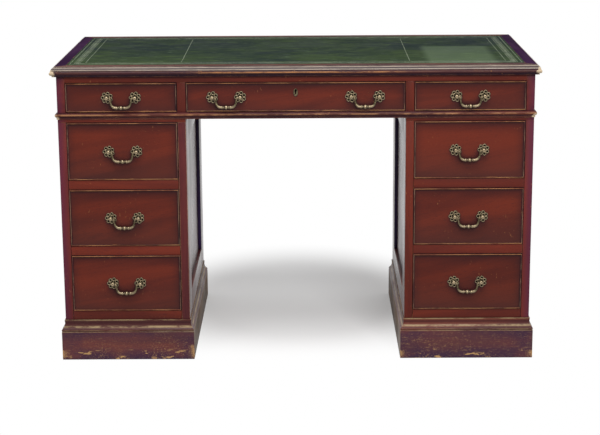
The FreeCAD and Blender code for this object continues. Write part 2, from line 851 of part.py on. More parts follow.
def keyhole(name, y, depth):
    """The room of a keyhole through the middle drawer's front, from y for a depth."""
    z = size.frieze_opening_height / 2 + size.keyhole_lift
    eye = prism(f"{name}_eye", ZERO, y + depth, z, size.keyhole_radius, depth, FACING_FRONT)
    slot = board(f"{name}_slot", size.keyhole_slot_width / -2, y, z - size.keyhole_slot_length,
                 size.keyhole_slot_width, depth, size.keyhole_slot_length)
    return fuse(name, [eye, slot])


def lock(x, y, z):
    """The lock behind the middle drawer's front: its case, its bolt and the plate over its keyhole."""
    ceiling = size.frieze_opening_height - size.front_gap
    back = size.front_thickness
    gap = size.bolt_clearance
    half = size.bolt_width / 2
    block = board("lock_block", size.lock_width / -2, back, ceiling - size.lock_height,
                  size.lock_width, size.lock_thickness, size.lock_height)
    room = board("bolt_room", -half - gap, bolt_y - gap, ceiling - size.bolt_height - size.running_gap,
                 size.bolt_width + 2 * gap, bolt_thickness + 2 * gap,
                 size.bolt_height + size.running_gap)
    case = cut("lock_case_body", block, [room, keyhole("case_keyhole", back, size.lock_thickness)])
    node("lock_case", [copy_at(case, "lock_case_at", x, y, z)])
    bolt = board("bolt", -half, bolt_y, ceiling - size.bolt_height,
                 size.bolt_width, bolt_thickness, size.bolt_height)
    node("lock_bolt", [copy_at(bolt, "lock_bolt_at", x, y, z)])

    half_width = size.escutcheon_width / 2
    straight = size.escutcheon_height / 2 - half_width * ESCUTCHEON_ROUND
    end_radius = swell_radius(size.escutcheon_width, ZERO, half_width * ESCUTCHEON_ROUND)
    middle = size.frieze_opening_height / 2 + size.keyhole_lift - size.keyhole_slot_length / 2
    plate = moulded_bar("escutcheon_plate", "XZ_Plane", [
        (half_width, middle - straight),
        (half_width, middle + straight, end_radius, 1),
        (-half_width, middle + straight),
        (-half_width, middle - straight, end_radius, 1),
    ], size.escutcheon_thickness)
    pierced = cut("escutcheon_pierced", plate,
                  [keyhole("plate_keyhole", -size.escutcheon_thickness, size.escutcheon_thickness)])
    node("escutcheon", [copy_at(pierced, "escutcheon_at", x, y, z)])


def drawer(name, kind, x, z, pull_names):
    """One drawer in its opening: its front, its box, its pull mounts and its bails."""
    pieces = [copy_at(kind.front, f"{name}_front_at", x, front_y, z)]
    for index, (strip, bead_x, bead_z, turn) in enumerate(kind.beads):
        pieces.append(copy_at(strip, f"{name}_bead_{index}", x + bead_x, front_y + size.bead_depth,
                              z + bead_z, turn))
    node(f"drawer_front_{name}", pieces)
    boards = [
        copy_at(item, f"{name}_box_{index}", x, front_y, z) for index, item in enumerate(kind.box)
    ]
    node(f"drawer_box_{name}", boards)

    mounts = []
    middle = z + kind.height / 2
    inward = {"left": Rotation(), "right": Rotation(Vector(0, 0, 1), 180)}
    for pull_name, pull_x in zip(pull_names, kind.pulls):
        for hand, share in (("left", -0.5), ("right", 0.5)):
            post_x = x + pull_x + size.pull_spacing * share
            for piece, source in mount_pieces.items():
                mounts.append(copy_at(source, f"{pull_name}_{piece}_{hand}", post_x, front_y, middle,
                                      FACING_FRONT * inward[hand]))
        node(f"bail_{pull_name}", [copy_at(bail_piece, f"{pull_name}_bail_at", x + pull_x,
                                           front_y - size.pivot_standoff, middle)])
    node(f"pull_mounts_{name}", mounts)


def write_steps():
    """Checks that everything was built, then writes a file for each sub-part."""
    doc.recompute()
    failed = [item.Name for item in doc.Objects if {"Invalid", "Error"} & set(item.State)]
    if failed:
        raise RuntimeError(f"not built: {failed}")
    for item in nodes:
        if item.Shape.isNull() or not item.Shape.isValid():
            raise RuntimeError(f"no valid shape: {item.Label}")
    os.makedirs("parts", exist_ok=True)
    for item in nodes:
        item.Shape.exportStep(f"parts/{item.Label}.step")
        print(item.Label, len(item.Shape.Solids), "solids")


top()
frieze()
waist_moulding()
pedestal_tops()
plinths()
node("pedestal_runners", pedestal("left", -centre_x) + pedestal("right", centre_x))

mount_pieces = {"rose": rose(), "post": post(), "nut": nut()}
bail_piece = bail()
deep_drawer = drawer_kind("deep", opening_width, size.drawer_opening_height, DEEP_TAILS, [ZERO])
shallow_drawer = drawer_kind("shallow", opening_width, size.frieze_opening_height, SHALLOW_TAILS, [ZERO])
centre_drawer = drawer_kind(
    "centre", centre_width, size.frieze_opening_height, SHALLOW_TAILS,
    [-size.centre_pull_offset, size.centre_pull_offset],
    [keyhole("front_keyhole", ZERO, size.front_thickness)],
)

for side, x in (("left", -centre_x), ("right", centre_x)):
    for index, row_name in enumerate(("bottom", "middle", "top")):
        drawer(f"{side}_{row_name}", deep_drawer, x, first_level + drawer_pitch * index,
               [f"{side}_{row_name}"])
    drawer(f"frieze_{side}", shallow_drawer, x, frieze_level, [f"frieze_{side}"])
drawer("frieze_centre", centre_drawer, ZERO, frieze_level, ["centre_left", "centre_right"])
lock(ZERO, front_y, frieze_level)

write_steps()
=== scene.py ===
"""Dresses a twin-pedestal writing desk: mahogany case, tooled leather top and cast brass pulls.

Lengths are in metres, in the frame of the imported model: the desk stands on z = 0, its drawer
fronts face -Y and +X is on the right of someone sitting at it.
"""
import json
import logging
import math
from collections.abc import Iterator, Sequence
from contextlib import contextmanager
from dataclasses import dataclass, field
from enum import Enum, StrEnum

import bpy
from mathutils import Matrix, Vector


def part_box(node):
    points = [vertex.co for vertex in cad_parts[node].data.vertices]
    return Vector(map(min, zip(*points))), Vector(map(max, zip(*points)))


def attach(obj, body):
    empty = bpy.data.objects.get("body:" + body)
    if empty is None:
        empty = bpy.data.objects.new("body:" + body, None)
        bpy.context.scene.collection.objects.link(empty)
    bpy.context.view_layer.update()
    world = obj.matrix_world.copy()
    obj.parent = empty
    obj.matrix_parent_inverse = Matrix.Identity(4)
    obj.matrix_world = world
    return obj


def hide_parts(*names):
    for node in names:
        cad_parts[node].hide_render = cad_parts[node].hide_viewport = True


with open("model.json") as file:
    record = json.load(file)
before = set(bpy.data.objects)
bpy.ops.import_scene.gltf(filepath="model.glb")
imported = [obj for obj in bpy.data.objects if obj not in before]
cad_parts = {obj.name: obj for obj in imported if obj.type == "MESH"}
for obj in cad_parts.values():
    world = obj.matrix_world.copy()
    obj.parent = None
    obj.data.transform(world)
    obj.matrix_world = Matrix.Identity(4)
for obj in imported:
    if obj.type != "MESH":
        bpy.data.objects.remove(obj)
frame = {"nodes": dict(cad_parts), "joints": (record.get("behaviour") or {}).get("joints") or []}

logging.basicConfig(level=logging.INFO, format="%(name)s: %(message)s")
log = logging.getLogger("desk")

MM = 0.001

# How far apart the figures of two boards lie whose marks differ by 1.
FIGURE_APART = 7.0
# Points and lines this close count as the same.
NEAR = 0.1 * MM
MERGED = 1e-6
# The least share of a face's normal along an axis for the face to look that way.
FACING = 0.7
# Edges are eased and shaded as arrises from these angles on, in degrees.
EASED_FROM = 35.0
ARRIS_FROM = 40.0
# How far the edges of a board and of a cutter are rounded.
BOARD_EASE = 0.6 * MM
CUTTER_EASE = 0.2 * MM
# How many rays look round for an edge, and for what is near.
EDGE_RAYS = 6
SHADE_RAYS = 8
# What raises the normal of an upright face to look at what overhangs it, to paint the shadow that this casts.
RAISED_BY = (0.2, 0.0, 0.8)
# Turns, in degrees about X, Y and Z, that carry +Z to an axis.
TO_FRONT = (90.0, 0.0, 0.0)
TO_BACK = (-90.0, 0.0, 0.0)
TO_RIGHT = (0.0, 90.0, 0.0)

Colour = tuple[float, float, float]
Point = tuple[float, float]
Value = float | Sequence[float] | bpy.types.NodeSocket


def screen(red: int, green: int, blue: int) -> Colour:
    """Turns a colour as a screen shows it into linear light.

    Args:
        red: Its red, from 0 to 255.
        green: Its green.
        blue: Its blue.

    Returns:
        Red, green and blue in linear light, from 0 to 1.
    """

    def linear(part: int) -> float:
        """One part of the colour, by the screen's own curve."""
        share = part / 255
        return share / 12.92 if share <= 0.04045 else ((share + 0.055) / 1.055) ** 2.4

    return linear(red), linear(green), linear(blue)


class Grain(Enum):
    """The way that a board's grain runs, as the number of its axis."""

    ACROSS = 0
    DEEP = 1
    UPRIGHT = 2


class Side(StrEnum):
    """A pedestal, as someone sitting at the desk has it."""

    LEFT = "left"
    RIGHT = "right"


class Row(StrEnum):
    """A pedestal's drawer, from the lowest up."""

    BOTTOM = "bottom"
    MIDDLE = "middle"
    TOP = "top"


class Paint:
    """A material's node tree, with short ways to add the nodes that a finish needs."""

    def __init__(self, owner: str | bpy.types.World) -> None:
        """Starts a material with a plain shader, or goes on with a world's own nodes.

        Args:
            owner: The new material's name, or the world.
        """
        if isinstance(owner, bpy.types.World):
            self.tree = owner.node_tree
            return
        self.material = bpy.data.materials.new(owner)
        self.material.use_nodes = True
        self.tree = self.material.node_tree
        self.shader = self.tree.nodes["Principled BSDF"]

    def feed(self, socket: bpy.types.NodeSocket, value: Value) -> None:
        """Links a socket to another, or sets its constant.

        Args:
            socket: The socket to feed.
            value: The other socket, or the constant.
        """
        if isinstance(value, bpy.types.NodeSocket):
            self.tree.links.new(value, socket)
        elif socket.type == "RGBA":
            socket.default_value = (*value, 1.0)
        else:
            socket.default_value = value

    def node(self, kind: str, inputs: dict[str | int, Value], **settings: object) -> bpy.types.Node:
        """Adds a node.

        Args:
            kind: The node's type, without its ShaderNode prefix.
            inputs: What feeds each of its inputs.
            settings: Its own properties.

        Returns:
            The new node.
        """
        item = self.tree.nodes.new(f"ShaderNode{kind}")
        for name, setting in settings.items():
            setattr(item, name, setting)
        for key, value in inputs.items():
            self.feed(item.inputs[key], value)
        return item

    def place(self) -> bpy.types.NodeSocket:
        """Where a point lies in the desk's own frame."""
        return self.node("TexCoord", {}).outputs["Object"]

    def attribute(self, name: str, output: str = "Fac") -> bpy.types.NodeSocket:
        """A value that the mesh itself carries."""
        return self.node("Attribute", {}, attribute_name=name).outputs[output]

    def board_place(self) -> bpy.types.NodeSocket:
        """Finds where a point lies, shifted by its board, so that no two boards have the same figure.

        Returns:
            The shifted place.
        """
        board = self.attribute("board", "Vector")
        shift = self.node("VectorMath", {0: board, "Scale": FIGURE_APART}, operation="SCALE").outputs[0]
        return self.node("VectorMath", {0: self.place(), 1: shift}, operation="ADD").outputs[0]

    def stretched(self, vector: Value, scale: Sequence[float]) -> bpy.types.NodeSocket:
        """A place with each axis scaled."""
        return self.node("Mapping", {"Vector": vector, "Scale": scale}).outputs[0]

    def noise(self, vector: Value, scale: float, detail: float = 3.0, roughness: float = 0.55,
              distortion: float = 0.0) -> bpy.types.NodeSocket:
        """Makes soft random patches.

        Args:
            vector: The place that they are read at.
            scale: How many there are to a unit of it.
            detail: How many finer layers they have.
            roughness: How strong the finer layers are.
            distortion: How far they are warped.

        Returns:
            A value from 0 to 1.
        """
        inputs = {"Vector": vector, "Scale": scale, "Detail": detail, "Roughness": roughness,
                  "Distortion": distortion}
        return self.node("TexNoise", inputs).outputs["Fac"]

    def ramp(self, value: Value, low: float, high: float, start: float = 0.0, end: float = 1.0
             ) -> bpy.types.NodeSocket:
        """Leads smoothly from one result to another.

        Args:
            value: What it follows.
            low: The value that it starts at.
            high: The value that it ends at.
            start: The result at low.
            end: The result at high.

        Returns:
            The result.
        """
        inputs = {"Value": value, "From Min": low, "From Max": high, "To Min": start, "To Max": end}
        return self.node("MapRange", inputs, interpolation_type="SMOOTHSTEP").outputs[0]

    def calc(self, operation: str, first: Value, second: Value = 0.0) -> bpy.types.NodeSocket:
        """Works out one sum, held from 0 to 1."""
        return self.node("Math", {0: first, 1: second}, operation=operation, use_clamp=True).outputs[0]

    def seen(self) -> bpy.types.NodeSocket:
        """Tells what the camera sees from what only sends out light.

        Returns:
            1 where a thing is seen, straight or in a gloss or through glass, and 0 for its light.
        """
        rays = self.node("LightPath", {}).outputs
        mirrored = self.calc("MAXIMUM", rays["Is Glossy Ray"], rays["Is Transmission Ray"])
        return self.calc("MAXIMUM", rays["Is Camera Ray"], mirrored)

    def axis(self, vector: Value, index: int) -> bpy.types.NodeSocket:
        """One of the three parts of a place."""
        return self.node("SeparateXYZ", {0: vector}).outputs[index]

    def blend(self, share: Value, first: Value, second: Value, mode: str = "MIX") -> bpy.types.NodeSocket:
        """Lays the second colour over the first by a share."""
        item = self.node("Mix", {0: share, 6: first, 7: second}, data_type="RGBA", blend_type=mode)
        return item.outputs[2]

    def arris(self, radius: float) -> bpy.types.NodeSocket:
        """Finds sharp edges.

        Args:
            radius: How far from an edge it still counts.

        Returns:
            1 on an edge, fading to 0 within the radius.
        """
        rounded = self.node("Bevel", {"Radius": radius}, samples=EDGE_RAYS)
        plain = self.node("NewGeometry", {})
        turned_by = self.node("VectorMath", {0: rounded.outputs[0], 1: plain.outputs["Normal"]},
                              operation="DOT_PRODUCT")
        return self.ramp(turned_by.outputs["Value"], 0.995, 0.88)

    def crevice(self, reach: float, clear: float = 0.75, deep: float = 0.2) -> bpy.types.NodeSocket:
        """1 in a tight corner, fading to 0 in the open.

        Args:
            reach: How far away other surfaces still count.
            clear: The share of open space that leaves no trace.
            deep: The share of open space that counts as a tight corner.

        Returns:
            How tight the place is.
        """
        shade = self.node("AmbientOcclusion", {"Distance": reach}, samples=SHADE_RAYS)
        return self.ramp(shade.outputs["AO"], clear, deep)

    def overhung(self, reach: float) -> bpy.types.NodeSocket:
        """Finds where a thing that stands off an upright face shades it from above, for painted shadow.

        Args:
            reach: How far away that thing still counts.

        Returns:
            1 close under it, fading to 0 in the open.
        """
        face = self.node("NewGeometry", {}).outputs["Normal"]
        raised = self.node("VectorMath", {0: face, 1: RAISED_BY}, operation="ADD").outputs[0]
        upward = self.node("VectorMath", {0: raised}, operation="NORMALIZE").outputs[0]
        shade = self.node("AmbientOcclusion", {"Distance": reach, "Normal": upward}, samples=SHADE_RAYS)
        return self.ramp(shade.outputs["AO"], 0.97, 0.68)

    def dress(self, colour: Value, roughness: Value, height: Value | None = None, relief: float = 0.0,
              **constants: float) -> bpy.types.Material:
        """Feeds the shader.

        Args:
            colour: The base colour.
            roughness: How dull the surface is.
            height: What its relief follows, if it has one.
            relief: How high that relief stands, in metres.
            constants: Values of other shader sockets, with words joined by underscores.

        Returns:
            The finished material.
        """
        self.feed(self.shader.inputs["Base Color"], colour)
        self.feed(self.shader.inputs["Roughness"], roughness)
        if height is not None:
            bump = self.node("Bump", {"Height": height, "Distance": relief, "Strength": 1.0})
            self.feed(self.shader.inputs["Normal"], bump.outputs[0])
        for name, value in constants.items():
            self.shader.inputs[name.replace("_", " ")].default_value = value
        return self.material


@dataclass(frozen=True)
class Mahogany:
    """Polished mahogany, worn pale along its arrises, dark with wax and painted shade in its corners.

    Each mark has its strength: wear on the arrises, chips, darker blotches at the foot and near the edges,
    a dark border, a painted violet sheen on the outer stiles, nicks, painted shadow with some dark wax under
    the pulls, and wear that keeps to where the sitter's arms lie. Pale and dark lines on mouldings are wear
    and wax as well as painted highlights and painted shade.
    """

    name: str
    ground: Colour = screen(108, 38, 26)
    figure: Colour = screen(78, 28, 24)
    gathered: Colour = screen(38, 16, 32)
    lower: Colour = screen(54, 40, 38)
    bare: Colour = screen(176, 118, 74)
    wear: float = 0.5
    worn_width: float = 1.6 * MM
    chips: float = 0.0
    grime: float = 0.0
    border: float = 0.0
    violet: float = 0.0
    gloss: float = 0.12
    dullness: Point = (0.3, 0.46)
    relief: float = 0.12 * MM
    lines: bool = False
    least_rubbed: float = 0.15
    nicks: float = 0.0
    halo: float = 0.0
    slant: float = 0.0
    sitter: float = 0.0
    corner: tuple[float, float, float] | None = None
    violet_light: Colour = screen(80, 34, 70)
    old_dirt: Colour = screen(42, 30, 58)
    pull_shade: Colour = screen(38, 18, 22)
    fresh_chip: Colour = screen(192, 172, 144)
    broad_figure: Point = (550.0 * MM, 60.0 * MM)
    streaks: Point = (120.0 * MM, 6.0 * MM)
    pores: Point = (12.0 * MM, 0.9 * MM)
    rubbed_runs: Point = (60.0 * MM, 20.0 * MM)
    corner_reach: float = 16.0 * MM
    pull_reach: float = 28.0 * MM
    border_width: float = 22.0 * MM
    border_foot: Point = (30.0 * MM, -80.0 * MM)
    foot_strength: float = 1.6
    outer_stile: Point = (566.0 * MM, 602.0 * MM)
    front_plane: Point = (-287.0 * MM, -289.0 * MM)
    elbow_reach: Point = (340.0 * MM, 160.0 * MM)
    front_edge: Point = (-200.0 * MM, -280.0 * MM)
    dirt_reach: float = 70.0 * MM
    dirty_height: Point = (42.0 * MM, 6.0 * MM)
    chip_reach: float = 22.0 * MM
    chipped_height: Point = (50.0 * MM, 0.0)
    scuffed_height: Point = (80.0 * MM, 20.0 * MM)
    gouged_height: Point = (32.0 * MM, 18.0 * MM)
    corner_chip: Point = (25.0 * MM, 21.0 * MM)
    corner_ragged: float = 20.0 * MM

    def material(self, grain: Grain) -> bpy.types.Material:
        """Makes the finish for boards whose grain runs one way, or finds it.

        Args:
            grain: The way that the grain runs.

        Returns:
            The finish.
        """
        name = f"{self.name}_{grain.name.lower()}"
        known = bpy.data.materials.get(name)
        if known:
            return known
        paint = Paint(name)
        spot = paint.board_place()
        turn = (0.0, math.radians(self.slant), 0.0)
        slanted = paint.node("Mapping", {"Vector": spot, "Rotation": turn}).outputs[0] if self.slant else spot

        def along(length: float, width: float) -> bpy.types.NodeSocket:
            """Scales the place so that a figure measures 1 both ways.

            Args:
                length: The figure's length, along the grain.
                width: Its width, across the grain.

            Returns:
                The scaled place.
            """
            scale = [1 / width] * 3
            scale[grain.value] = 1 / length
            return paint.stretched(slanted, scale)

        broad = paint.noise(along(*self.broad_figure), 1.0, detail=4.0, distortion=0.9)
        streak = paint.noise(along(*self.streaks), 1.0, detail=3.0, distortion=0.3)
        pore = paint.noise(along(*self.pores), 1.0, detail=1.0)
        colour = paint.blend(paint.ramp(broad, 0.36, 0.64), self.figure, self.ground)
        colour = paint.blend(paint.ramp(streak, 0.5, 0.8, 0.0, 0.45), colour, self.figure)
        colour = paint.blend(paint.ramp(pore, 0.6, 0.75, 0.0, 0.5), colour, self.gathered)
        tone = paint.ramp(paint.attribute("board"), 0.0, 1.0, 0.9, 1.1)
        colour = paint.blend(1.0, colour, tone, "MULTIPLY")
        if self.border:
            colour = self.bordered(paint, colour)
        # Painted violet sheen on the front faces of the outer stiles.
        if self.violet:
            outward = paint.ramp(paint.calc("ABSOLUTE", paint.axis(paint.place(), 0)), *self.outer_stile)
            frontward = paint.ramp(paint.axis(paint.place(), 1), *self.front_plane, 0.0, self.violet)
            colour = paint.blend(paint.calc("MULTIPLY", outward, frontward), colour, self.violet_light)
        # Dark wax and painted shade in tight corners and gaps, as round the beads.
        tight = paint.calc("MULTIPLY", paint.crevice(self.corner_reach, 0.9, 0.3), 0.85)
        colour = paint.blend(tight, colour, self.gathered)
        # Painted shadow, with some dark wax, under the pulls and under whatever else stands off the face.
        if self.halo:
            shadow_and_wax_under_pulls = paint.calc("MULTIPLY", paint.overhung(self.pull_reach), self.halo)
            colour = paint.blend(shadow_and_wax_under_pulls, colour, self.pull_shade)
        # Darker in blotches towards the foot and near the edges.
        if self.grime:
            foot = paint.ramp(paint.axis(paint.place(), 2), *self.dirty_height, 0.0, 0.85)
            dark_places = paint.calc("MAXIMUM", paint.arris(self.dirt_reach), foot)
            cloud = paint.ramp(paint.noise(spot, 9.0, detail=4.0), 0.32, 0.62, 0.35 * self.grime, self.grime)
            colour = paint.blend(paint.calc("MULTIPLY", dark_places, cloud), colour, self.old_dirt)
        if self.lines:
            broken = paint.noise(along(*self.rubbed_runs), 1.0, detail=6.0, roughness=0.7)
            colour = self.lined(paint, colour, broken)
        patch = paint.noise(spot, 38.0, detail=5.0, roughness=0.65)
        bared = paint.ramp(patch, 0.62 - 0.3 * self.wear, 0.72)
        worn = paint.calc("MULTIPLY", paint.arris(self.worn_width), bared)
        if self.chips:
            worn = paint.calc("MAXIMUM", worn, self.knocks(paint, spot))
        if self.nicks:
            nick = paint.noise(paint.stretched(spot, (260.0, 260.0, 120.0)), 1.0, detail=1.0)
            some = paint.ramp(paint.noise(spot, 11.0), 0.5, 0.7, 0.0, self.nicks)
            worn = paint.calc("MAXIMUM", worn, paint.calc("MULTIPLY", paint.ramp(nick, 0.68, 0.76), some))
        colour = paint.blend(paint.calc("MULTIPLY", worn, 0.9), colour, self.bare)
        if self.corner:
            colour = paint.blend(self.knocked_corner(paint), colour, self.fresh_chip)
        dullness = paint.ramp(paint.noise(spot, 9.0, detail=4.0), 0.3, 0.75, *self.dullness)
        dullness = paint.calc("MAXIMUM", dullness, paint.calc("MULTIPLY", worn, 0.7))
        relief = paint.blend(0.35, pore, streak)
        return paint.dress(colour, dullness, relief, self.relief, Specular_IOR_Level=self.gloss)

    def bordered(self, paint: Paint, colour: bpy.types.NodeSocket) -> bpy.types.NodeSocket:
        """Darkens the border and the foot of a drawer's front.

        Args:
            paint: The material's nodes.
            colour: The colour so far.

        Returns:
            The darkened colour.
        """
        off_middle = paint.attribute("front_place", "Vector")
        half = paint.attribute("front_half", "Vector")
        beside = paint.node("VectorMath", {0: off_middle}, operation="ABSOLUTE").outputs[0]
        inward = paint.node("VectorMath", {0: half, 1: beside}, operation="SUBTRACT").outputs[0]
        nearest = paint.calc("MINIMUM", *[paint.axis(inward, index) for index in (0, 2)])
        edge = paint.ramp(nearest, self.border_width, 0.0, 0.0, self.border)
        colour = paint.blend(edge, colour, self.gathered)
        strength = self.foot_strength * self.border
        foot = paint.ramp(paint.axis(off_middle, 2), *self.border_foot, 0.0, strength)
        return paint.blend(foot, colour, self.lower)

    def lined(self, paint: Paint, colour: bpy.types.NodeSocket, broken: bpy.types.NodeSocket
              ) -> bpy.types.NodeSocket:
        """Makes the pale lines of a moulding, wear and painted highlight, and its dark lines, wax and painted
        shade.

        Args:
            paint: The material's nodes.
            colour: The colour so far.
            broken: The patches that break up the pale lines.

        Returns:
            The colour with its lines.
        """
        # Pale and dark lines of the mesh: wear and wax, with painted highlights and painted shade.
        rubbed = paint.attribute("rubbed")
        colour = paint.blend(paint.ramp(rubbed, -0.1, -1.0, 0.0, 0.9), colour, self.gathered)
        gaps = paint.ramp(broken, 0.4, 0.58, self.least_rubbed, 0.95)
        pale = paint.calc("MULTIPLY", paint.ramp(rubbed, 0.1, 1.0), gaps)
        if self.sitter:
            elbows = paint.ramp(paint.calc("ABSOLUTE", paint.axis(paint.place(), 0)), *self.elbow_reach)
            front = paint.ramp(paint.axis(paint.place(), 1), *self.front_edge)
            leant_on = paint.calc("MULTIPLY", elbows, front)
            share = paint.ramp(leant_on, 0.0, 1.0, 1.0 - self.sitter, 1.0)
            pale = paint.calc("MULTIPLY", pale, share)
        return paint.blend(pale, colour, self.bare)

    def knocked_corner(self, paint: Paint) -> bpy.types.NodeSocket:
        """Finds where the corners of a moulding have been knocked.

        Args:
            paint: The material's nodes.

        Returns:
            1 on bare wood, and 0 elsewhere.
        """
        quarter = paint.node("VectorMath", {0: paint.place()}, operation="ABSOLUTE").outputs[0]
        away = paint.node("VectorMath", {0: quarter, 1: self.corner}, operation="DISTANCE").outputs["Value"]
        flake = paint.noise(paint.place(), 120.0, detail=4.0)
        ragged = paint.node("Math", {0: flake, 1: self.corner_ragged, 2: away}, operation="MULTIPLY_ADD")
        return paint.ramp(ragged.outputs[0], *self.corner_chip, 0.0, 0.9)

    def knocks(self, paint: Paint, spot: bpy.types.NodeSocket) -> bpy.types.NodeSocket:
        """Finds chips along the foot and the corners, and scuffs across the faces.

        Args:
            paint: The material's nodes.
            spot: The place on the board.

        Returns:
            1 on bare wood, and 0 elsewhere.
        """
        height = paint.axis(paint.place(), 2)
        foot = paint.ramp(height, *self.chipped_height)
        rounded = paint.node("Bevel", {"Radius": self.chip_reach}, samples=EDGE_RAYS).outputs[0]
        upright = paint.ramp(paint.axis(rounded, 2), -0.35, -0.1, 0.35, 1.0)
        corner = paint.calc("MULTIPLY", paint.arris(self.chip_reach), upright)
        exposed = paint.calc("MULTIPLY", paint.calc("ADD", foot, 0.12), corner)
        flake = paint.noise(spot, 34.0, detail=6.0, roughness=0.6)
        chipped = paint.ramp(paint.calc("ADD", paint.calc("MULTIPLY", exposed, 0.36), flake), 0.7, 0.74)
        scratch = paint.noise(paint.stretched(spot, (55.0, 55.0, 320.0)), 1.0, detail=6.0, roughness=0.7)
        speck = paint.noise(paint.stretched(spot, (210.0, 210.0, 330.0)), 1.0, detail=4.0, roughness=0.7)
        crowd = paint.ramp(paint.noise(spot, 17.0, detail=3.0), 0.4, 0.66, 0.25, 1.0)
        low = paint.calc("MULTIPLY", paint.ramp(height, *self.scuffed_height, 0.2, 1.0), crowd)
        scratches = paint.ramp(scratch, 0.56, 0.66, 0.0, 0.8)
        scuffs = paint.calc("MAXIMUM", scratches, paint.ramp(speck, 0.56, 0.64, 0.0, 0.9))
        gouge = paint.noise(paint.stretched(spot, (26.0, 26.0, 70.0)), 1.0, detail=5.0, roughness=0.55)
        deep = paint.ramp(height, *self.gouged_height)
        gouged = paint.calc("MULTIPLY", paint.ramp(gouge, 0.62, 0.65), deep)
        marks = paint.calc("MAXIMUM", paint.calc("MULTIPLY", scuffs, low), gouged)
        return paint.calc("MULTIPLY", paint.calc("MAXIMUM", chipped, marks), self.chips)


@dataclass(frozen=True)
class PlainWood:
    """Bare close-grained wood, as inside drawers and under the top."""

    name: str = "plain_wood"
    light: Colour = screen(186, 152, 112)
    dark: Colour = screen(148, 112, 76)
    stained: Colour = screen(104, 70, 44)
    dust: Colour = screen(60, 40, 28)
    dust_reach: float = 20.0 * MM
    relief: float = 0.1 * MM
    figures_along: float = 3.0
    figures_across: float = 90.0

    def material(self, grain: Grain) -> bpy.types.Material:
        """Makes the finish for boards whose grain runs one way, or finds it.

        Args:
            grain: The way that the grain runs.

        Returns:
            The finish.
        """
        name = f"{self.name}_{grain.name.lower()}"
        known = bpy.data.materials.get(name)
        if known:
            return known
        paint = Paint(name)
        spot = paint.board_place()
        scale = [self.figures_across] * 3
        scale[grain.value] = self.figures_along
        figure = paint.noise(paint.stretched(spot, scale), 1.0, detail=4.0, distortion=0.4)
        fibre = paint.noise(paint.stretched(spot, [6 * part for part in scale]), 1.0, detail=2.0)
        colour = paint.blend(paint.ramp(figure, 0.3, 0.7), self.light, self.dark)
        colour = paint.blend(paint.ramp(fibre, 0.55, 0.75, 0.0, 0.4), colour, self.dark)
        stain = paint.noise(spot, 7.0, detail=4.0)
        colour = paint.blend(paint.ramp(stain, 0.5, 0.8, 0.0, 0.4), colour, self.stained)
        colour = paint.blend(paint.calc("MULTIPLY", paint.crevice(self.dust_reach), 0.6), colour, self.dust)
        return paint.dress(colour, 0.72, fibre, self.relief, Specular_IOR_Level=0.25)


